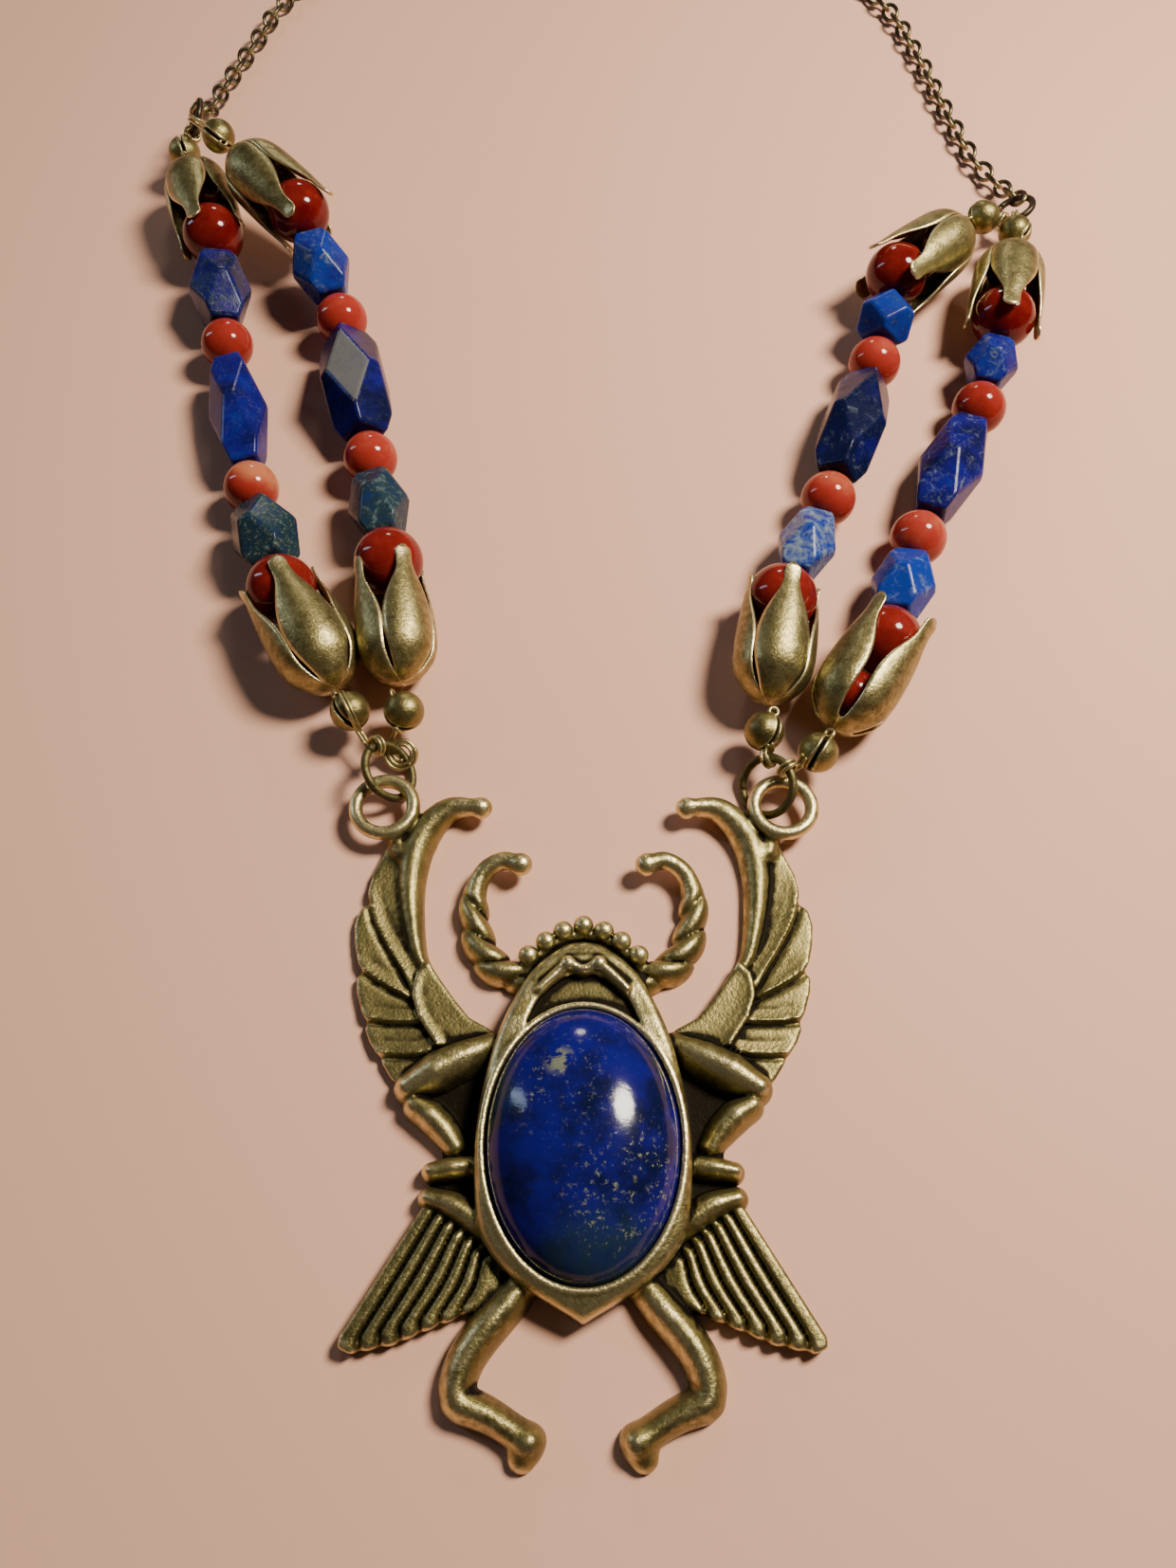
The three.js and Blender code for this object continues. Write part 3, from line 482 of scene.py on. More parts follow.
def lapis_finish(stone):
    """Faceted lapis: each stone's blue, pale, green, pyrite and frost attributes set the mixture; the frost
    on one top facet is partly a painted reflection.
    """
    finish = Finish("lapis_beads", specular_ior_level=0.16)
    cloud = finish.noise(3.5, 4.0, 0.6)
    mottle = finish.noise(1.4, 5.0, 0.68, 0.8)
    fleck = finish.noise(0.4, 3.0, 0.7)
    wave = finish.noise(4.0, 1.0)
    frost = finish.attribute("frost")
    bright = (finish.attribute("blue") + (cloud - 0.5) * 1.1).between(0.0, 1.0)
    deep = finish.mix(bright.between(0.0, 0.55), stone.navy, stone.ultramarine)
    blue = finish.mix(bright.between(0.45, 1.0), deep, stone.cobalt)
    greenish = (finish.attribute("green") * 1.2 + (mottle - 0.6) * 1.4).between(0.1, 0.9)
    toned = finish.mix(greenish, blue, stone.teal)
    whitish = (finish.attribute("pale") + (mottle - 0.5) * 2.6).between(0.3, 1.2)
    mixed = finish.mix(whitish, toned, stone.pale)
    gold = fleck.between(0.52, 0.66) * mottle.between(0.42, 0.56) * finish.attribute("pyrite")
    flecked = finish.mix(gold * 0.55, mixed, stone.pyrite)
    # Grey on one long stone's top facet: partly frost, partly a painted reflection
    finish.set(base_color=finish.mix(frost * (0.6 + mottle * 0.5), flecked, stone.frosted_reflection))
    finish.set(roughness=0.16 + mottle * 0.14 + gold * 0.2 + frost * 0.2)
    finish.bump(wave * 0.7 + mottle * 0.3, 0.15)
    return finish.material


def carnelian_finish(stone):
    """Polished carnelian: the tone attribute, each bead's tone with a painted lighter side, runs from wine
    red through orange to amber.
    """
    finish = Finish("polished_carnelian", specular_ior_level=0.28)
    finish.set(subsurface_weight=0.25, subsurface_scale=0.002, subsurface_radius=(1.0, 0.15, 0.08))
    cloud = finish.noise(2.4, 4.0, 0.65, 0.5)
    tone = finish.attribute("tone") + (cloud - 0.5) * 0.5
    reddish = finish.mix(tone.between(0.0, 0.65), stone.wine, stone.orange)
    finish.set(base_color=finish.mix(tone.between(0.6, 1.0), reddish, stone.amber), roughness=0.1)
    return finish.material


def finish_for(name):
    """The material of a finish, made once."""
    scene = bpy.context.scene
    makers = {
        "worn_brass": (brass_finish, scene.amulet_metal),
        "dark_bronze": (bronze_finish, scene.amulet_metal),
        "lapis_stone": (stone_finish, scene.amulet_stone),
        "lapis_beads": (lapis_finish, scene.amulet_stone),
        "polished_carnelian": (carnelian_finish, scene.amulet_stone),
    }
    maker, settings = makers[name]
    return bpy.data.materials.get(name) or maker(settings)


def unit(vector):
    return vector / np.linalg.norm(vector)


def curve(points, count):
    """A Catmull-Rom curve through the points: a cubic in each span, sampled evenly over all spans."""
    points = np.asarray(points, float)
    padded = np.vstack([2 * points[0] - points[1], points, 2 * points[-1] - points[-2]])
    place = np.linspace(0, len(points) - 1, count)
    span = np.minimum(place.astype(int), len(points) - 2)
    t = (place - span)[:, None]
    a, b, c, d = (padded[span + k] for k in range(4))
    return 0.5 * (2 * b + (c - a) * t + (2 * a - 5 * b + 4 * c - d) * t**2 + (3 * b - a - 3 * c + d) * t**3)


def even(path, count):
    """The same path with its points at equal distances."""
    gone = np.concatenate([[0], np.cumsum(np.linalg.norm(np.diff(path, axis=0), axis=1))])
    marks = np.linspace(0, gone[-1], count)
    return np.stack([np.interp(marks, gone, axis) for axis in path.T], -1)


def stations(values, share):
    """Values at even stations, read at each share of the length."""
    values = np.atleast_1d(np.asarray(values, float))
    return np.interp(share, np.linspace(0, 1, len(values)), values)


def cells(rows, columns, around=True):
    """The four corners of each cell of a grid, which closes around its columns if asked."""
    last = columns if around else columns - 1
    i, j = np.meshgrid(np.arange(rows - 1), np.arange(last), indexing="ij")
    k = (j + 1) % columns
    corners = [i * columns + j, i * columns + k, (i + 1) * columns + k, (i + 1) * columns + j]
    return np.stack(corners, -1).reshape(-1, 4)


def gather(grids):
    """Several grids of points as one list of points and one list of cells; each grid closes around."""
    points, faces, start = [], [], 0
    for grid in grids:
        points.append(grid.reshape(-1, 3))
        faces.append(cells(*grid.shape[:2]) + start)
        start += len(points[-1])
    return np.vstack(points), np.vstack(faces)


def close_back(shell):
    """Triangles over the plane z = 0 inside the open edges of a shell, with its holes left out."""
    edges = [edge for edge in shell.edges if edge.is_boundary]
    corners = list(dict.fromkeys(corner for edge in edges for corner in edge.verts))
    number = {corner: k for k, corner in enumerate(corners)}
    places = [corner.co.xy / MM for corner in corners]
    pairs = [tuple(number[corner] for corner in edge.verts) for edge in edges]
    _, _, triangles, origins, _, _ = delaunay_2d_cdt(places, pairs, [], 2, 1e-5)
    for triangle in triangles:
        shell.faces.new([corners[origins[k][0]] for k in triangle])


def paint(mesh, domain, count, values):
    """Attributes that the finishes read: one value for all points or faces, or one for each."""
    for key, value in values.items():
        layer = mesh.attributes.new(key, "FLOAT", domain)
        layer.data.foreach_set("value", np.broadcast_to(value, count).astype(np.float32))


def place(shell, mesh, finish, nodes, modifiers):
    """Writes a shell to its mesh and shows it as a piece that stands for the solids of the given nodes."""
    shell.to_mesh(mesh)
    shell.free()
    mesh.shade_smooth()
    mesh.materials.append(finish_for(finish))
    piece = bpy.data.objects.new(mesh.name, mesh)
    bpy.context.scene.collection.objects.link(piece)
    for kind, settings in modifiers.items():
        modifier = piece.modifiers.new(kind.title(), kind)
        for key, value in settings.items():
            setattr(modifier, key, value)
    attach(piece, "root")
    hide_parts(*nodes)


def add_piece(name, points, faces, finish, nodes, values=None, modifiers=None, flat_back=False):
    """A mesh of points in millimetres and four-cornered faces, with doubles merged and normals outwards."""
    mesh = bpy.data.meshes.new(name)
    mesh.vertices.add(len(points))
    mesh.vertices.foreach_set("co", np.asarray(points, np.float32).ravel() * MM)
    mesh.loops.add(faces.size)
    mesh.loops.foreach_set("vertex_index", faces.astype(np.int32).ravel())
    mesh.polygons.add(len(faces))
    mesh.polygons.foreach_set("loop_start", np.arange(0, faces.size, faces.shape[1], dtype=np.int32))
    mesh.update(calc_edges=True)
    paint(mesh, "POINT", len(points), values or {})
    shell = bmesh.new()
    shell.from_mesh(mesh)
    bmesh.ops.remove_doubles(shell, verts=shell.verts, dist=1e-7)
    if flat_back:
        close_back(shell)
    bmesh.ops.recalc_face_normals(shell, faces=shell.faces)
    place(shell, mesh, finish, nodes, modifiers or {})


def nearest(x, y, path):
    """Distance of plan points from a polyline, share of its length there, and side, +1 to the left."""
    steps = np.diff(path, axis=0)
    sizes = np.hypot(*steps.T)
    gone = np.concatenate([[0], np.cumsum(sizes)])
    best = np.full(np.broadcast(x, y).shape, np.inf)
    share = np.zeros_like(best)
    side = np.zeros_like(best)
    for start, step, size, before in zip(path, steps, sizes, gone):
        along = np.clip(((x - start[0]) * step[0] + (y - start[1]) * step[1]) / size**2, 0, 1)
        off_x, off_y = x - start[0] - along * step[0], y - start[1] - along * step[1]
        away = np.hypot(off_x, off_y)
        closer = away < best
        best = np.where(closer, away, best)
        share = np.where(closer, (before + along * size) / gone[-1], share)
        side = np.where(closer, np.sign(step[0] * off_y - step[1] * off_x), side)
    return best, share, side


def inside_of(x, y, outline):
    """Distance from a closed outline, below nought inside it by an even-odd count of crossings."""
    outline = np.asarray(outline, float)
    away = nearest(x, y, np.vstack([outline, outline[:1]]))[0]
    odd = np.zeros(away.shape, bool)
    for (ax, ay), (bx, by) in zip(outline, np.roll(outline, -1, axis=0)):
        if ay != by:
            odd ^= ((ay > y) != (by > y)) & (x < ax + (bx - ax) * (y - ay) / (by - ay))
    return np.where(odd, -away, away)


def oval(x, y, half):
    """Distance from an ellipse: its level less one over the steepness of the level."""
    level = np.hypot(x / half[0], y / half[1])
    steep = np.hypot(x / half[0]**2, y / half[1]**2) / np.maximum(level, 1e-6)
    return (level - 1) / np.maximum(steep, 1e-6)


class Casting:
    """Metal as a field over the right half of the plan and up from the table: below nought is metal.

    Bodies are joined by a smooth minimum, which rounds the crease between them over the blend width.
    """
    REACH = (25.4, -28.8, 39.6, 5.4)
    EMPTY = 9.0
    TURNS = ((0, 0), (1, 0), (1, 1), (0, 1))
    SHARE_REACHES = (0.5, 1.3)

    def __init__(self, step):
        self.step = step
        reach_x, low_y, high_y, high_z = self.REACH
        self.x = np.arange(0, reach_x, step)[:, None]
        self.y = np.arange(low_y, high_y, step)[None, :]
        self.z = np.arange(0, high_z, step)
        self.metal = np.full((self.x.size, self.y.size, self.z.size), self.EMPTY, np.float32)

    def window(self, edge, margin=1.0):
        """The slices of the plan in which an edge distance is below a margin."""
        rows = np.flatnonzero((edge < margin).any(axis=1))
        columns = np.flatnonzero((edge < margin).any(axis=0))
        return slice(rows[0], rows[-1] + 1), slice(columns[0], columns[-1] + 1)

    def join(self, window, body, blend):
        """Adds a body by the smooth minimum of its field and the metal's."""
        metal = self.metal[window]
        share = np.clip(0.5 + 0.5 * (metal - body) / blend, 0, 1)
        self.metal[window] = metal + (body - metal) * share - blend * share * (1 - share)

    def cut(self, window, body, blend):
        """Takes a body away by the smooth maximum of the metal and the body's outside."""
        metal = self.metal[window]
        share = np.clip(0.5 - 0.5 * (metal + body) / blend, 0, 1)
        self.metal[window] = metal - (body + metal) * share + blend * share * (1 - share)

    def limb(self, path, width, height, level=0.0, blend=0.18, twist=None):
        """An ellipse carried along a plan curve, its half width and height eased between stations."""
        away, share, side = nearest(self.x, self.y, curve(path, 6 * len(path)))
        wide = stations(width, share)
        window = self.window(away - wide)
        away, share, side, wide = (part[window][..., None] for part in (away, share, side, wide))
        across = np.clip(side * away / wide, -1, 1)
        tall = stations(height, share)
        reach = np.sqrt((away / wide)**2 + ((self.z - stations(level, share)) / tall)**2)
        body = (reach - 1) * np.minimum(wide, tall)
        if twist:
            body = body - twist(share, across)
        self.join(window, body, blend)

    def ball(self, centre, radius, blend=0.12):
        """A sphere: the distance from its centre less its radius."""
        away = np.hypot(self.x - centre[0], self.y - centre[1])
        window = self.window(away - radius)
        self.join(window, np.hypot(away[window][..., None], self.z - centre[2]) - radius, blend)

    def slab(self, edge, top, rounding=0.25):
        """Field of a slab inside an edge with its top at a height, its upper edge rounded."""
        window = self.window(edge)
        out = edge[window][..., None] + rounding
        over = self.z - np.broadcast_to(top, edge.shape)[window][..., None] + rounding
        outside = np.hypot(np.maximum(out, 0), np.maximum(over, 0))
        return window, outside + np.minimum(np.maximum(out, over), 0) - rounding

    def plate(self, edge, top, rounding=0.25, blend=0.15):
        """A slab joined to the metal."""
        window, body = self.slab(edge, top, rounding)
        self.join(window, body, blend)

    def above(self, path):
        """Distance from a plan curve, above nought to the right of its run."""
        away, _, side = nearest(self.x, self.y, curve(path, 6 * len(path)))
        return -side * away

    def whole(self):
        """Both halves of the field, mirrored about the middle plane."""
        return np.concatenate([self.metal[:0:-1], self.metal])

    def skin(self):
        """Points at the mean edge crossing of each cell that the zero level passes, with a face around each
        crossed edge, and the share of metal around each point at two distances.
        """
        field = self.whole()
        shape = np.array(field.shape)
        strides = np.array([shape[1] * shape[2], shape[2], 1])
        sums = np.zeros((4, field.size))
        faces = []
        for axis in range(3):
            near, far = (np.take(field, np.arange(k, shape[axis] - 1 + k), axis) for k in (0, 1))
            spots = np.argwhere((near < 0) != (far < 0))
            first, second = near[tuple(spots.T)], far[tuple(spots.T)]
            crossing = spots.astype(float)
            crossing[:, axis] += first / (first - second)
            b, c = (axis + 1) % 3, (axis + 2) % 3
            offsets = [strides[b] * db + strides[c] * dc for db, dc in self.TURNS]
            around = (spots @ strides)[:, None] - np.array(offsets)
            whole = (spots[:, b] > 0) & (spots[:, c] > 0)
            weights = [*crossing.T, np.ones(len(spots))]
            for k, (db, dc) in enumerate(self.TURNS):
                real = (spots[:, b] >= db) & (spots[:, c] >= dc)
                for row, weight in zip(sums, weights):
                    row += np.bincount(around[real, k], weight[real], field.size)
            turned = np.where((first < 0)[:, None], around, around[:, ::-1])
            faces.append(turned[whole])
        used = np.flatnonzero(sums[3])
        index = np.zeros(field.size, int)
        index[used] = np.arange(len(used))
        places = (sums[:3, used] / sums[3, used]).T
        places[used % shape[2] == 0, 2] = 0
        corner = np.array([-(self.x.size - 1) * self.step, self.y[0, 0], 0])
        filled = np.clip(0.5 - field / self.step, 0, 1)
        shares = [blurred(filled, round(reach / self.step)).ravel()[used] for reach in self.SHARE_REACHES]
        return corner + places * self.step, index[np.vstack(faces)], shares


def blurred(volume, radius):
    """Mean of a volume over a box of cells around each cell, by running sums along each axis."""
    for axis in range(3):
        pad = [(radius + 1, radius) if k == axis else (0, 0) for k in range(3)]
        sums = np.cumsum(np.pad(volume, pad, mode="edge"), axis=axis)
        size = volume.shape[axis]
        upper = np.take(sums, np.arange(2 * radius + 1, 2 * radius + 1 + size), axis)
        volume = (upper - np.take(sums, np.arange(size), axis)) / (2 * radius + 1)
    return volume


def drawn(values, faces, pulls):
    """Values at the corners of faces, each drawn by turns towards the mean of its neighbours.

    Where a pull is below nought they are pushed away from it.
    """
    edges = np.vstack([faces[:, [k, (k + 1) % 4]] for k in range(4)])
    edges = np.vstack([edges, edges[:, ::-1]])
    count = np.bincount(edges[:, 0], minlength=values.shape[1])
    for pull in pulls:
        total = [np.bincount(edges[:, 0], row[edges[:, 1]], len(row)) for row in values]
        values = values + pull * (np.array(total) / count - values)
    return values


def relaxed(points, faces):
    """Points drawn towards their neighbours and pushed back, so that bumps go but size stays."""
    smooth = drawn(points.T, faces, [0.5, -0.52] * 4).T
    smooth[points[:, 2] == 0, 2] = 0
    return smooth


def cast_body(casting, height):
    """The pointed egg around the stone, its rim, the sunk panel of the head, the brow and the crown."""
    x, y = casting.x, casting.y
    half = curve(BODY_HALF, 60)
    outline = np.vstack([half, half[::-1] * [-1, 1]])
    beyond = oval(x, y, STONE_HALF)
    slope = np.clip((y - HEAD_SLOPE["start"]) / HEAD_SLOPE["run"], 0, 1)
    fall = TAIL_SLOPE["steepness"] * np.clip(beyond - TAIL_SLOPE["start"], 0, 4)
    fall = fall * np.clip(-y / TAIL_SLOPE["run"], 0, 1)
    casting.plate(inside_of(x, y, outline), height - HEAD_SLOPE["drop"] * slope**1.5 - fall, 0.9, 0.3)
    arch = curve(PANEL_ARCH[:-1], 40)
    hole = inside_of(x, y, np.vstack([arch, PANEL_ARCH[-1]]))
    casting.cut(*pit(casting, hole, PANEL_FLOOR), 0.2)
    rim = np.abs(beyond - RIM["shift"]) - RIM["half"]
    casting.plate(rim, height + RIM["rise"] - RIM["dip"] * np.clip((y - 8) / 4, 0, 1) + 0 * x, 0.3, 0.12)
    casting.cut(*pit(casting, beyond - SEAT_PLAY, SEAT_FLOOR), 0.06)
    casting.limb(BROW, BROW_WIDTHS, 1.1, 3.3, 0.12)
    casting.ball(**BROW_EYE)
    beads = np.array(CROWN)
    casting.limb(beads - [0, 0.8], 1.1, 2.6, 0.0, 0.25)
    for bead in beads:
        casting.ball([*bead, CROWN_BEAD["height"]], CROWN_BEAD["radius"], 0.06)


def pit(casting, edge, floor):
    """Field of a hollow inside an edge, open above a floor."""
    window = casting.window(edge)
    return window, np.maximum(edge[window][..., None], floor - casting.z)


def cast_feeler(casting):
    """A feeler: a rope of slanting lobes below, smooth above, lifted off the table towards its ball tip."""
    def lobes(share, across):
        turn = np.abs(np.sin(np.pi * (share * ROPE["lobes"] + 0.5 * across)))
        return ROPE["depth"] * (np.sqrt(turn) - 0.75) * np.clip((ROPE["end"] - share) / 0.06, 0, 1)

    casting.limb(FEELER, FEELER_WIDTHS, FEELER_HEIGHTS, FEELER_LEVELS, twist=lobes)
    casting.ball(**FEELER_TIP, blend=0.3)


def cast_wing(casting, metal):
    """A wing: a plate stepped at each feather's end, the leaf at the shoulder, the arm and the eye ring."""
    x, y = casting.x, casting.y
    rim = metal.feather_rim / MM
    top = np.full(np.broadcast(x, y).shape, metal.feather_height / MM - rim)
    for path in FEATHER_ENDS:
        above = casting.above(path)
        top += rim * np.exp(-np.maximum(above, 0) / 0.9) * np.clip(0.5 + above / 0.3, 0, 1)
        top -= 0.3 * np.exp(-((above + 0.3) / 0.25)**2)
    casting.plate(inside_of(x, y, WING_PLATE), top, 0.3)
    leaf = inside_of(x, y, WING_LEAF)
    free = np.exp(-np.abs(casting.above(WING_LEAF[:5])) / 0.6)
    casting.plate(leaf, LEAF_HEIGHT + LEAF_RIM * free, 0.3, 0.1)
    casting.limb(WING_ARM, ARM_WIDTHS, ARM_HEIGHTS, ARM_LEVELS, 0.1)
    casting.ball(**ARM_TIP, blend=0.3)
    centre = EYE_RING["centre"]
    away = np.hypot(x - centre[0], y - centre[1]) - EYE_RING["radius"]
    window = casting.window(np.abs(away) - EYE_RING["wire"])
    ring = np.hypot(away[window][..., None], casting.z - centre[2]) - EYE_RING["wire"]
    casting.join(window, ring, 0.35)
    casting.limb(EYE_NECK, 1.25, 2.2, 0, 0.6)


def cast_legs(casting):
    """Three legs on a thin web, and the fan behind them: a plate whose top falls off from each rib."""
    casting.plate(inside_of(casting.x, casting.y, LEG_WEB), WEB_HEIGHT)
    for path, width, height, blend in LEGS:
        casting.limb(path, width, height, 0, blend)
    roots, ends = np.array(FAN_ROOTS), np.array(FAN_ENDS)
    ribs = []
    for share in np.linspace(0, 1, FAN_RIBS):
        root = roots[0] + (roots[1] - roots[0]) * share
        end = ends[0] + (ends[1] - ends[0]) * share
        bow = (root + end) / 2 - np.array(FAN_BOW) * (1 - share**2)
        ribs.append(nearest(casting.x, casting.y, curve([root, bow, end], 12))[0])
    first, second = np.sort(ribs, axis=0)[:2]
    crest = 1 - (2 * first / np.maximum(first + second, 1e-6))**4
    edge = inside_of(casting.x, casting.y, FAN_PLATE)
    casting.plate(edge + 0.25 * (1 - crest), FAN_FLOOR + FAN_RISE * crest, 0.3)


def ring_frame(name, metal):
    """Centre and radius of a ring and the directions of its plane: its heading, and a side that leans."""
    centre, heading, lean = RINGS[name]
    radius = metal.jump_radius if name.endswith("pendant") else metal.end_radius
    turn, tip = math.radians(heading), math.radians(lean)
    out = np.array([math.cos(turn), math.sin(turn), 0.0])
    side = np.array([-math.sin(turn), math.cos(turn), 0.0])
    return np.array(centre), radius / MM, out, side * math.cos(tip) + UP * math.sin(tip)


def tube(path, radius, sides=12, closed=False):
    """A round wire along a path: circles square to it, without twist; open ends close to a point."""
    path = np.asarray(path, float)
    if closed:
        along = np.roll(path, -1, axis=0) - np.roll(path, 1, axis=0)
    else:
        along = np.gradient(path, axis=0)
    along = along / np.linalg.norm(along, axis=1, keepdims=True)
    normal = np.linalg.svd(path - path.mean(axis=0))[2][-1]
    across = np.cross(along, normal)
    across = across / np.linalg.norm(across, axis=1, keepdims=True)
    over = np.cross(along, across)
    turn = np.linspace(0, 2 * np.pi, sides, endpoint=False)
    radius = np.broadcast_to(np.asarray(radius, float), len(path))[:, None, None]
    wheel = across[:, None] * np.cos(turn)[:, None] + over[:, None] * np.sin(turn)[:, None]
    grid = path[:, None] + radius * wheel
    if closed:
        return np.concatenate([grid, grid[:1]])
    first, last = (np.broadcast_to(path[k], (1, sides, 3)) for k in (0, -1))
    return np.concatenate([first, grid, last])


def ring_wire(name, metal):
    """A jump ring: a wire once around, cut with a hair-thin gap."""
    centre, radius, out, rise = ring_frame(name, metal)
    wire = metal.ring_wire / MM
    turn = np.linspace(math.radians(RING_CUT), math.radians(RING_CUT + RING_SWEEP), 72)[:, None]
    path = centre + radius * (np.cos(turn) * out + np.sin(turn) * rise)
    path[:, 2] = np.maximum(path[:, 2], wire + CLEARANCE)
    return tube(path, wire)


def sphere(centre, radius, axis, rows=28, columns=40):
    """A sphere about an axis: circles whose radius is the sine, at heights of the cosine."""
    side = unit(np.cross(axis, UP + [0.01, 0, 0]))
    over = np.cross(axis, side)
    fall = np.linspace(0, np.pi, rows)[:, None, None]
    turn = np.linspace(0, 2 * np.pi, columns, endpoint=False)[None, :, None]
    ray = np.cos(fall) * axis + np.sin(fall) * (np.cos(turn) * side + np.sin(turn) * over)
    return centre + radius * ray


def middle(node):
    """Middle of a solid, in millimetres."""
    low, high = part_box(node)
    return (np.array(low) + np.array(high)) / 2 / MM


def strand_end(name):
    """Cup, axis and knot cover centre of one end of a strand, from the solids of its beads."""
    inner, large = middle(f"{name}_cap_carnelian"), middle(f"{name}_large_carnelian")
    axis = unit(large - inner)
    base = inner - CUP_DROP * axis
    return base, axis, base - KNOT_DROP * axis


def petal_frame(axis, roll):
    """Two directions across an axis: the first as near to up as it can be, turned by a roll."""
    side = unit(np.cross(axis, UP))
    up = np.cross(side, axis)
    return math.cos(roll) * up + math.sin(roll) * side, math.cos(roll) * side - math.sin(roll) * up


def cap_surface(base, axis, roll, splay, size, slim):
    """Four spoon petals about an axis: radius and half width by height, edges bent in, the end splayed."""
    rows, columns = PETAL_GRID
    rise, radius, width, opened = curve(PETAL, rows).T
    rounded = np.sqrt(1 - np.clip((rise - PETAL_ROUNDING["start"]) / PETAL_ROUNDING["run"], 0, 1)**2)
    width = width * np.where(rise < PETAL_FOOT, 1, slim) * rounded
    across = np.linspace(-1, 1, columns)
    bend = PETAL_BEND * across**2 * np.sin(np.pi * rise)[:, None]
    up, side = petal_frame(axis, roll)
    points, faces, wear = [], [], []
    for petal, spread in enumerate(splay):
        reach = radius[:, None] + spread * opened[:, None] - bend
        turn = np.pi / 2 * petal + across * np.minimum(width / radius, np.pi / 4)[:, None]
        ring = np.cos(turn)[..., None] * up + np.sin(turn)[..., None] * side
        petal_points = base + size * rise[:, None, None] * axis + reach[..., None] * ring
        petal_points[..., 2] = np.maximum(petal_points[..., 2], PETAL_LOWEST)
        points.append(petal_points.reshape(-1, 3))
        faces.append(cells(rows, columns, False) + rows * columns * petal)
        brightened = np.maximum(np.abs(across)**10, 0.8 * rise[:, None]**14)
        wear.append(np.broadcast_to(0.25 + 0.75 * brightened, PETAL_GRID).ravel())
    return np.vstack(points), np.vstack(faces), np.concatenate(wear)


def clamshell(centre, opening, seam, radius, rows=45, columns=64):
    """A ball about its seam direction: circles crowd at the middle, which sinks into a slit with lips."""
    spread = np.linspace(-1, 1, rows)
    tilt = np.pi / 2 * np.sign(spread) * np.abs(spread)**1.8
    turn = np.linspace(0, 2 * np.pi, columns, endpoint=False)
    around = np.cos(turn)[:, None] * opening + np.sin(turn)[:, None] * np.cross(seam, opening)
    ray = np.sin(tilt)[:, None, None] * seam + np.cos(tilt)[:, None, None] * around
    half = np.clip(np.cos(turn) * 2 + 0.8, 0, 1)
    slit = np.exp(-(tilt / SLIT["half"])**4)[:, None] * half
    lip = np.exp(-((np.abs(tilt) - LIP["place"]) / LIP["half"])**2)[:, None] * half
    size = radius * (1 - SLIT["depth"] * slit + LIP["height"] * lip)
    return centre + size[..., None] * ray, slit, lip


def hook_strips(centre, spot, wire, radius, curls):
    """Two thin strips from a knot cover to a ring's wire, where they wind around it in a spiral.

    The strips of a cover that is laced from its hinge start there and follow the ball first.
    """
    hinge, widest, turns = curls
    pull = unit(spot - centre)
    wire = UP if turns > 2 else wire
    flat = unit(wire - pull * (wire @ pull))
    cross = np.cross(pull, flat)
    curl = np.linspace(0, 2 * np.pi * turns, round(28 * turns))
    reach = np.linspace(widest, HOOK_NARROWEST, len(curl))
    wound = spot + reach[:, None] * (np.sin(curl)[:, None] * pull + np.cos(curl)[:, None] * cross)
    share = np.linspace(0, 1, 12)[:, None]
    ball = (1 - share) * hinge + share * unit(pull + 0.35 * cross) + 2.4 * share * (1 - share) * UP
    ball = centre + (radius + 0.12) * ball / np.linalg.norm(ball, axis=1, keepdims=True)
    run = ball[-1] + np.linspace(0, 1, 6)[1:-1, None] * (wound[0] - ball[-1])
    path = np.vstack([ball, run, wound])
    return [tube(path + flat * shift, STRIP_WIRE, 8) for shift in (-STRIP_SHIFT, STRIP_SHIFT)]


def faceted(size, half, corner, end_share):
    """A square prism with its long edges cut flat, tapering to both ends: a rhombus stays on each side."""
    quarter = np.pi / 2 * np.arange(4)
    tip = 0.5 * corner / (1 + corner - end_share)

    def ring(forward, sideways, level):
        across = forward * np.cos(quarter) - sideways * np.sin(quarter)
        over = forward * np.sin(quarter) + sideways * np.cos(quarter)
        return np.stack([half * across, half * over, np.full(4, level * size)], -1)

    points = np.vstack([ring(1, -corner, 0), ring(1, corner, 0), ring(1, 0, tip), ring(1, 0, -tip),
                        ring(end_share, 0, 0.5), ring(end_share, 0, -0.5)])
    faces = [[k, 8 + k, 4 + k, 12 + k] for k in range(4)]
    for k in range(4):
        after = (k + 1) % 4
        faces.append([4 + k, after, 8 + after, 16 + after, 16 + k, 8 + k])
        faces.append([4 + k, after, 12 + after, 20 + after, 20 + k, 12 + k])
    return points, [*faces, [16, 17, 18, 19], [20, 21, 22, 23]]


def add_faceted(name, node, start, end, half, settings):
    """A faceted stone between two points, turned by its roll from having a rhombus face up."""
    *tones, roll, frost, width = LAPIS_TONES[name]
    along = unit(end - start)
    size = np.linalg.norm(end - start)
    points, faces = faceted(size, half * width, settings.corner_share, settings.end_share)
    up, side = petal_frame(along, math.radians(roll))
    places = (start + end) / 2 + points @ np.array([up, side, along])
    places[:, 2] += max(STONE_LOWEST - places[:, 2].min(), 0)
    mesh = bpy.data.meshes.new(f"{name}_stone")
    mesh.from_pydata((places * MM).tolist(), [], faces)
    values = dict(zip(("blue", "pale", "green", "pyrite"), tones))
    # Frost on the first facet, the rhombus that faces up before the roll: partly a painted reflection
    values["frost"] = [frost, *[0] * (len(faces) - 1)]
    paint(mesh, "FACE", len(faces), values)
    shell = bmesh.new()
    shell.from_mesh(mesh)
    bmesh.ops.recalc_face_normals(shell, faces=shell.faces)
    edge = settings.facet_edge
    bmesh.ops.bevel(shell, geom=shell.edges, offset=edge, segments=3, profile=0.5, affect="EDGES")
    place(shell, mesh, "lapis_beads", [node], {"WEIGHTED_NORMAL": {"keep_sharp": True}})


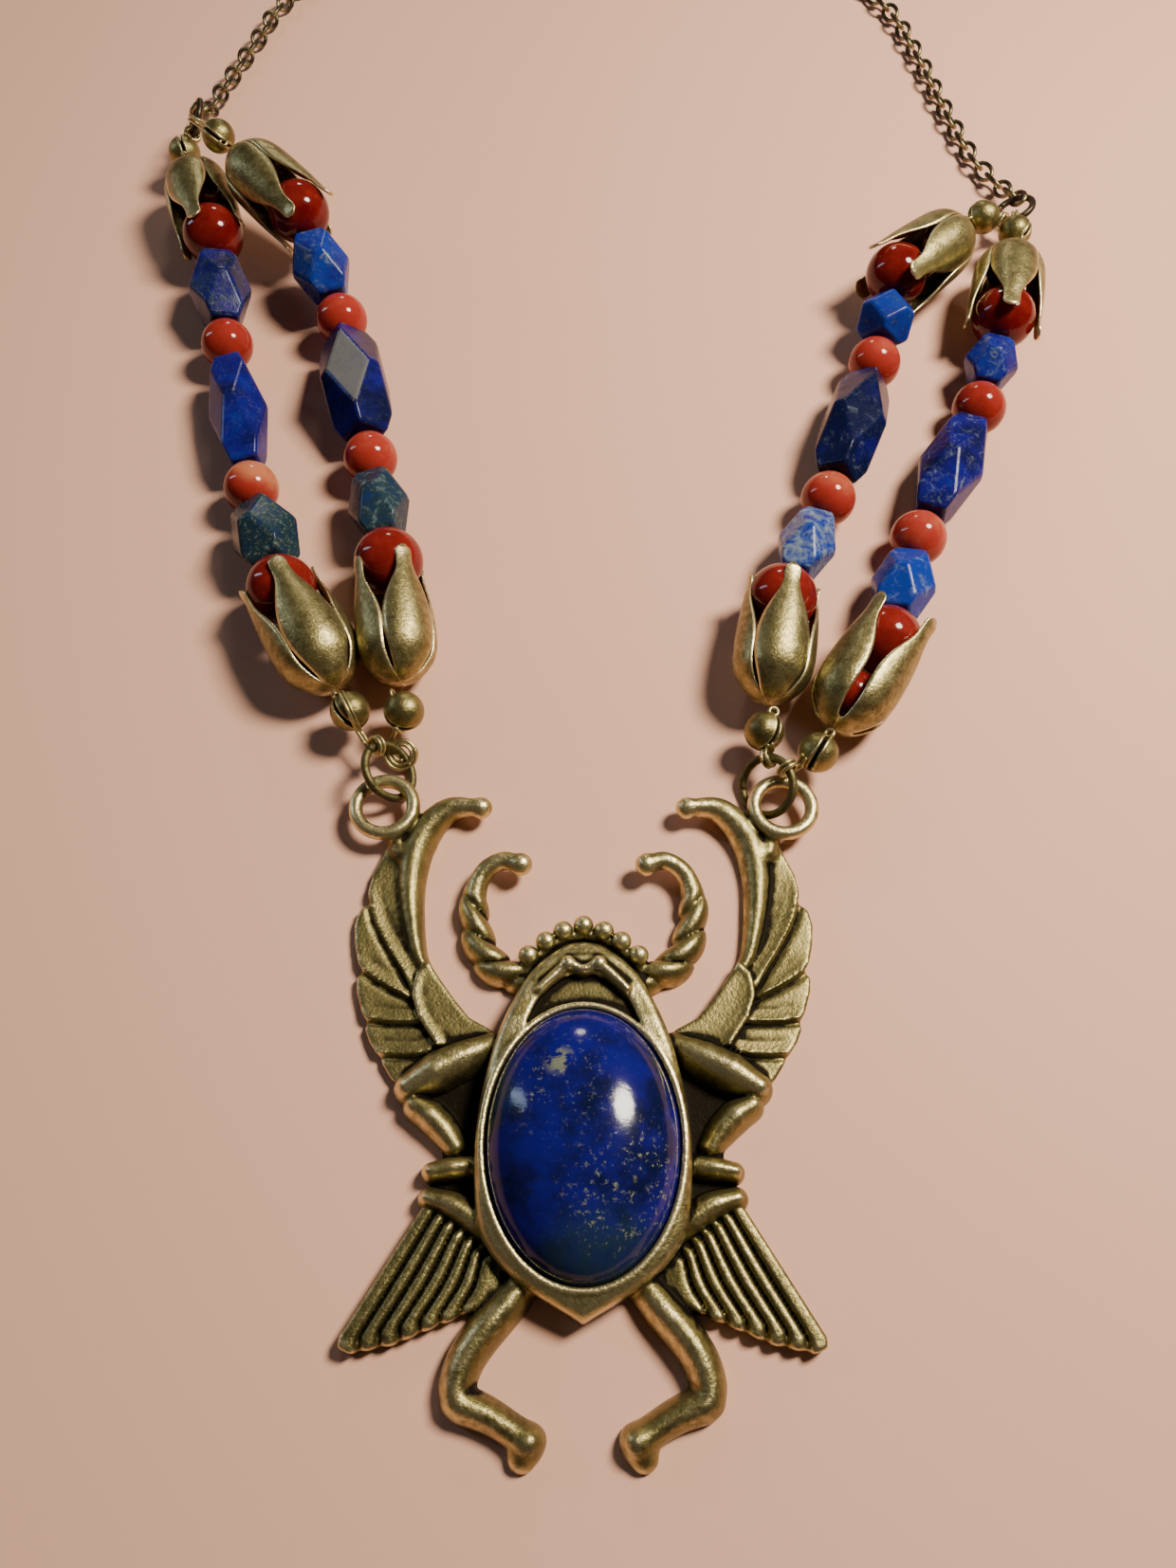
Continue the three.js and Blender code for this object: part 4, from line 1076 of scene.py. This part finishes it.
class AMULET_OT_setting(bpy.types.Operator):
    """The cast scarab: all of its limbs joined in one field and skinned as one surface"""
    bl_idname = "amulet.setting"
    bl_label = "Scarab setting"

    def execute(self, context):
        metal = context.scene.amulet_metal
        casting = Casting(metal.grid_step / MM)
        cast_legs(casting)
        cast_wing(casting, metal)
        cast_feeler(casting)
        cast_body(casting, metal.body_height / MM)
        points, faces, shares = casting.skin()
        points = relaxed(points, faces)
        fine, broad = drawn(np.array(shares), faces, [0.7] * 4)
        x, y, z = points.T
        # Brighter where the metal thins at its edges, from rubbing, and brighter the higher the surface
        # stands: a painted highlight on the tops of the limbs
        wear = np.clip((0.48 - fine) * 5 + 0.85 * np.clip((z - 1.7) / 1.5, 0, 1), 0, 1)
        # Darker where the metal crowds around a point: patina in the hollows together with painted shade
        # there
        dirt = np.clip((fine - 0.56) * 7 + (broad - 0.64) * 2.3, 0, 1)
        # Painted shade: the web between the legs is coloured as deep shade
        dark_share = np.clip((1.0 - z) / 0.4, 0, 1) * (inside_of(np.abs(x), y, LEG_WEB) < 0) * (z > 0)
        values = {"wear": wear, "dirt": np.maximum(dirt, dark_share)}
        add_piece("scarab_casting", points, faces, "worn_brass", ["scarab_setting"], values, flat_back=True)
        return {"FINISHED"}


class AMULET_OT_stone(bpy.types.Operator):
    """The oval stone: an ellipse that shrinks along a quarter circle above a short girdle"""
    bl_idname = "amulet.stone"
    bl_label = "Oval stone"

    def execute(self, context):
        floor, girdle, top = STONE_LEVELS
        shares, rises = np.transpose(STONE_UNDERSIDE)
        rise = np.linspace(0, np.pi / 2, 40)
        reach = np.concatenate([shares, np.cos(rise)])
        level = np.concatenate([floor + rises, girdle + (top - girdle) * np.sin(rise)])
        turn = np.linspace(0, 2 * np.pi, 96, endpoint=False)
        x = STONE_HALF[0] * reach[:, None] * np.cos(turn)
        y = STONE_HALF[1] * reach[:, None] * np.sin(turn)
        grid = np.stack([x, y, np.broadcast_to(level[:, None], x.shape)], -1)
        add_piece("lapis_oval", *gather([grid]), "lapis_stone", ["lapis_cabochon"])
        return {"FINISHED"}


class AMULET_OT_rings(bpy.types.Operator):
    """The jump rings through the eyes of the wings"""
    bl_idname = "amulet.rings"
    bl_label = "Jump rings"

    def execute(self, context):
        metal = context.scene.amulet_metal
        values = {"wear": 0.1, "dirt": 0.55}
        for side in ("left", "right"):
            points, faces = gather([ring_wire(f"{side}_pendant", metal)])
            add_piece(f"{side}_pendant_ring", points, faces, "worn_brass", [f"{side}_jump_ring"], values)
        return {"FINISHED"}


class AMULET_OT_round_beads(bpy.types.Operator):
    """The round carnelian beads, each with its own run of tone, painted lighter towards one side as if lit
    from there
    """
    bl_idname = "amulet.round_beads"
    bl_label = "Round beads"

    def execute(self, context):
        painted_light_slant = unit(np.array(PAINTED_LIGHT_SIDE))
        for end, (*_, small_tones) in STRAND_ENDS.items():
            axis = unit(middle(f"{end}_large_carnelian") - middle(f"{end}_cap_carnelian"))
            deep = CAP_TONES[end.split("_")[-1]]
            tones = {"cap": (deep, deep), "large": (deep, deep + 0.06), "small": small_tones}
            for size, (low, high) in tones.items():
                node = f"{end}_{size}_carnelian"
                radius = BEAD_RADII[size]
                points, faces = gather([sphere(middle(node), radius, axis)])
                # Painted light: each bead grows lighter towards the same side, the side the lamps light
                share = np.clip((points - middle(node)) @ painted_light_slant / radius * 0.9 + 0.5, 0, 1)
                tone = low + (high - low) * share
                add_piece(f"{end}_{size}_bead", points, faces, "polished_carnelian", [node], {"tone": tone})
        return {"FINISHED"}


class AMULET_OT_faceted_beads(bpy.types.Operator):
    """The faceted lapis stones between the round beads"""
    bl_idname = "amulet.faceted_beads"
    bl_label = "Faceted stones"

    def execute(self, context):
        stone = context.scene.amulet_stone
        past_large, past_small = (BEAD_RADII[size] + BEAD_GAP for size in ("large", "small"))
        for strand in STRANDS:
            smalls = []
            for end in (f"{strand}_lower", f"{strand}_upper"):
                large, small = middle(f"{end}_large_carnelian"), middle(f"{end}_small_carnelian")
                along = unit(small - large)
                start, stop = large + along * past_large, small - along * past_small
                half = stone.small_half / MM
                add_faceted(f"{end}_small", f"{end}_small_lapis", start, stop, half, stone)
                smalls.append(small)
            along = unit(smalls[1] - smalls[0])
            start, stop = smalls[0] + along * past_small, smalls[1] - along * past_small
            half = stone.long_half / MM
            add_faceted(f"{strand}_long", f"{strand}_long_lapis", start, stop, half, stone)
        return {"FINISHED"}


class AMULET_OT_caps(bpy.types.Operator):
    """The lotus caps, pressed from thin sheet"""
    bl_idname = "amulet.caps"
    bl_label = "Lotus caps"

    def execute(self, context):
        metal = context.scene.amulet_metal
        wall = {"thickness": metal.cap_wall, "offset": -1}
        highest = cad_box[1][2] / MM
        for end, (_, _, roll, splay, _, _) in STRAND_ENDS.items():
            base, axis, _ = strand_end(end)
            slim = SLIM_PETALS.get(end, 1)
            points, faces, wear = cap_surface(base, axis, roll, splay, metal.cap_length / MM, slim)
            points[:, 2] -= max(points[:, 2].max() + CLEARANCE - highest, 0)
            values = {"wear": wear, "dirt": 0.0}
            nodes = [f"{end}_lotus_cap"]
            add_piece(f"{end}_petals", points, faces, "worn_brass", nodes, values, {"SOLIDIFY": wall})
        return {"FINISHED"}


class AMULET_OT_knot_covers(bpy.types.Operator):
    """The clamshell knot covers with their hinge loop and their hook of two thin strips"""
    bl_idname = "amulet.knot_covers"
    bl_label = "Knot covers"

    def execute(self, context):
        metal = context.scene.amulet_metal
        radius = metal.knot_radius / MM
        for end, (ring, degrees, _, _, seam_degrees, _) in STRAND_ENDS.items():
            _, axis, centre = strand_end(end)
            ring_centre, ring_radius, out, rise = ring_frame(ring, metal)
            turn = math.radians(degrees)
            spot = ring_centre + ring_radius * (math.cos(turn) * out + math.sin(turn) * rise)
            wire = math.cos(turn) * rise - math.sin(turn) * out
            opening, seam = petal_frame(axis, math.radians(seam_degrees))
            shell, slit, lip = clamshell(centre, opening, seam, radius)
            laced = axis + 0.5 * UP if end in LACED else spot - centre
            curls = (unit(laced), *HOOK_CURLS.get(end, HOOK_CURL))
            strips = hook_strips(centre, spot, wire, radius, curls)
            sweep = np.linspace(0, 2 * np.pi, 25)[:-1, None]
            across = unit(0.55 * seam - 0.85 * opening)
            hinge = centre + 0.97 * radius * axis + 0.5 * radius * opening
            hinge = hinge + HINGE_RADIUS * (np.cos(sweep) * axis + np.sin(sweep) * np.cross(axis, across))
            points, faces = gather([shell, *strips, tube(hinge, STRIP_WIRE, 8, True)])
            dirt = np.zeros(len(points))
            dirt[:slit.size] = 0.2 + 1.6 * slit.ravel()
            wear = np.full(len(points), 0.5)
            wear[:slit.size] = 0.05 + 0.6 * lip.ravel()
            values = {"wear": wear, "dirt": dirt}
            add_piece(f"{end}_knot_shell", points, faces, "worn_brass", [f"{end}_knot_cover"], values)
        return {"FINISHED"}


def chain_links(path, metal):
    """Oval wire links along a path, each leaning half a right angle and turned a quarter from the last."""
    pitch, wire = metal.link_pitch / MM, metal.link_wire / MM
    dense = curve(path, 400)
    count = round(np.linalg.norm(np.diff(dense, axis=0), axis=1).sum() / pitch)
    spots = even(dense, count + 1)
    along = np.gradient(spots, axis=0)
    turn = np.linspace(0, 2 * np.pi, 20, endpoint=False)[:, None]
    links, wear = [], []
    for number, (spot, way) in enumerate(zip(spots, along)):
        way = unit(way)
        side = unit(np.cross(UP, way))
        lean = math.radians(45 if number % 2 else -45)
        across = side * math.cos(lean) + np.cross(way, side) * math.sin(lean)
        half = pitch / 2 + LINK_OVERLAP * wire
        oval_path = spot + way * half * np.cos(turn) + across * LINK_HALF_WIDTH * np.sin(turn)
        links.append(tube(oval_path, wire, 8, True))
        wear.append(np.repeat(0.3 + 0.7 * np.abs(np.cos(turn)).ravel(), 8))
        wear.append(np.full(8, 1.0))
    return links, np.concatenate(wear)


class AMULET_OT_chains(bpy.types.Operator):
    """The cable chain of each side and the ring that takes a pair of strands"""
    bl_idname = "amulet.chains"
    bl_label = "Chains"

    def execute(self, context):
        metal = context.scene.amulet_metal
        for name, path in CHAINS.items():
            centre, radius, out, _ = ring_frame(name, metal)
            points, faces = gather([ring_wire(name, metal)])
            add_piece(f"{name}_ring", points, faces, "dark_bronze", [name], {"wear": 0.5})
            links, wear = chain_links([centre + out * radius, *path], metal)
            points, faces = gather(links)
            add_piece(f"{name}_links", points, faces, "dark_bronze", [name], {"wear": wear})
        return {"FINISHED"}


class AMULET_OT_clasp(bpy.types.Operator):
    """The claw clasp: a bowed claw, its lever and its eye"""
    bl_idname = "amulet.clasp"
    bl_label = "Clasp"

    def execute(self, context):
        turn = np.linspace(0, 2 * np.pi, 64, endpoint=False)[:, None]
        centre = np.array(CLASP_CENTRE)
        circle = np.hstack([np.cos(turn), np.sin(turn), 0 * turn])
        claw = centre + circle * [*CLAW_HALF, 0]
        thick = 0.5 + 0.2 * np.cos(turn[:, 0] / 2 - 0.6)**2
        eye = centre + CLASP_EYE["shift"] + CLASP_EYE["radius"] * circle
        lever = tube(curve(LEVER, 14) + centre, LEVER_WIRE, 10)
        grids = [tube(claw, thick, 14, True), tube(eye, CLASP_EYE["wire"], 10, True), lever]
        add_piece("claw_clasp", *gather(grids), "dark_bronze", ["clasp"], {"wear": 0.55})
        return {"FINISHED"}


def add_lamp(name, toward, distance, size, power, tint):
    """A round lamp that shines on the pendant from a direction."""
    data = bpy.data.lights.new(name, "AREA")
    data.energy, data.color = power, tint
    data.shape = "ELLIPSE"
    data.size, data.size_y = size
    lamp = bpy.data.objects.new(name, data)
    toward = unit(np.array(toward))
    lamp.location = np.array(LAMP_AIM) * MM + toward * distance
    lamp.rotation_euler = (math.acos(toward[2]), 0, math.atan2(toward[0], -toward[1]))
    bpy.context.scene.collection.objects.link(lamp)


class AMULET_OT_stage(bpy.types.Operator):
    """The table, the lamps and the camera"""
    bl_idname = "amulet.stage"
    bl_label = "Stage"

    def execute(self, context):
        stage = context.scene.amulet_stage
        mesh = bpy.data.meshes.new("table")
        corners = [[x * TABLE_HALF, y * TABLE_HALF, 0] for x, y in ((-1, -1), (1, -1), (1, 1), (-1, 1))]
        mesh.from_pydata(corners, [], [[0, 1, 2, 3]])
        finish = Finish("table", base_color=(*stage.floor, 1.0), roughness=0.75)
        mesh.materials.append(finish.material)
        table = bpy.data.objects.new("table", mesh)
        context.scene.collection.objects.link(table)
        for name, (setting, toward, distance, size, tint) in LAMPS.items():
            add_lamp(name, toward, distance, size, getattr(stage, setting), tint)
        world = bpy.data.worlds.new("room")
        world.use_nodes = True
        background = world.node_tree.nodes["Background"]
        background.inputs["Color"].default_value = ROOM_TINT
        background.inputs["Strength"].default_value = stage.ambient
        context.scene.world = world
        data = bpy.data.cameras.new("camera")
        data.sensor_width = SENSOR_LONG_SIDE
        data.lens = SENSOR_LONG_SIDE * FOCAL_PIXELS / max(PHOTO_SIZE)
        data.clip_start = CAMERA_NEAR
        camera = bpy.data.objects.new("camera", data)
        camera.location = np.array(CAMERA_PLACE) * MM
        camera.rotation_euler = (math.radians(CAMERA_TILT), 0, 0)
        context.scene.collection.objects.link(camera)
        context.scene.camera = camera
        return {"FINISHED"}


class AMULET_PT_panel(bpy.types.Panel):
    """Lists the pieces of the amulet and their settings."""
    bl_label = "Scarab amulet"
    bl_idname = "AMULET_PT_panel"
    bl_space_type = "VIEW_3D"
    bl_region_type = "UI"
    bl_category = "Amulet"

    def draw(self, context):
        for operator in OPERATORS:
            self.layout.operator(operator.bl_idname)
        for group in (context.scene.amulet_metal, context.scene.amulet_stone, context.scene.amulet_stage):
            for name in group.__annotations__:
                self.layout.prop(group, name)


GROUPS = {"amulet_metal": AmuletMetal, "amulet_stone": AmuletStone, "amulet_stage": AmuletStage}
OPERATORS = [
    AMULET_OT_stage, AMULET_OT_setting, AMULET_OT_stone, AMULET_OT_rings, AMULET_OT_round_beads,
    AMULET_OT_faceted_beads, AMULET_OT_caps, AMULET_OT_knot_covers, AMULET_OT_chains, AMULET_OT_clasp,
]


def register():
    for kind in (*GROUPS.values(), *OPERATORS, AMULET_PT_panel):
        bpy.utils.register_class(kind)
    for name, group in GROUPS.items():
        setattr(bpy.types.Scene, name, bpy.props.PointerProperty(type=group))


def unregister():
    for name in GROUPS:
        delattr(bpy.types.Scene, name)
    for kind in reversed((*GROUPS.values(), *OPERATORS, AMULET_PT_panel)):
        bpy.utils.unregister_class(kind)


def main():
    register()
    for operator in OPERATORS:
        group, name = operator.bl_idname.split(".")
        getattr(getattr(bpy.ops, group), name)()


if __name__ == "__main__":
    main()
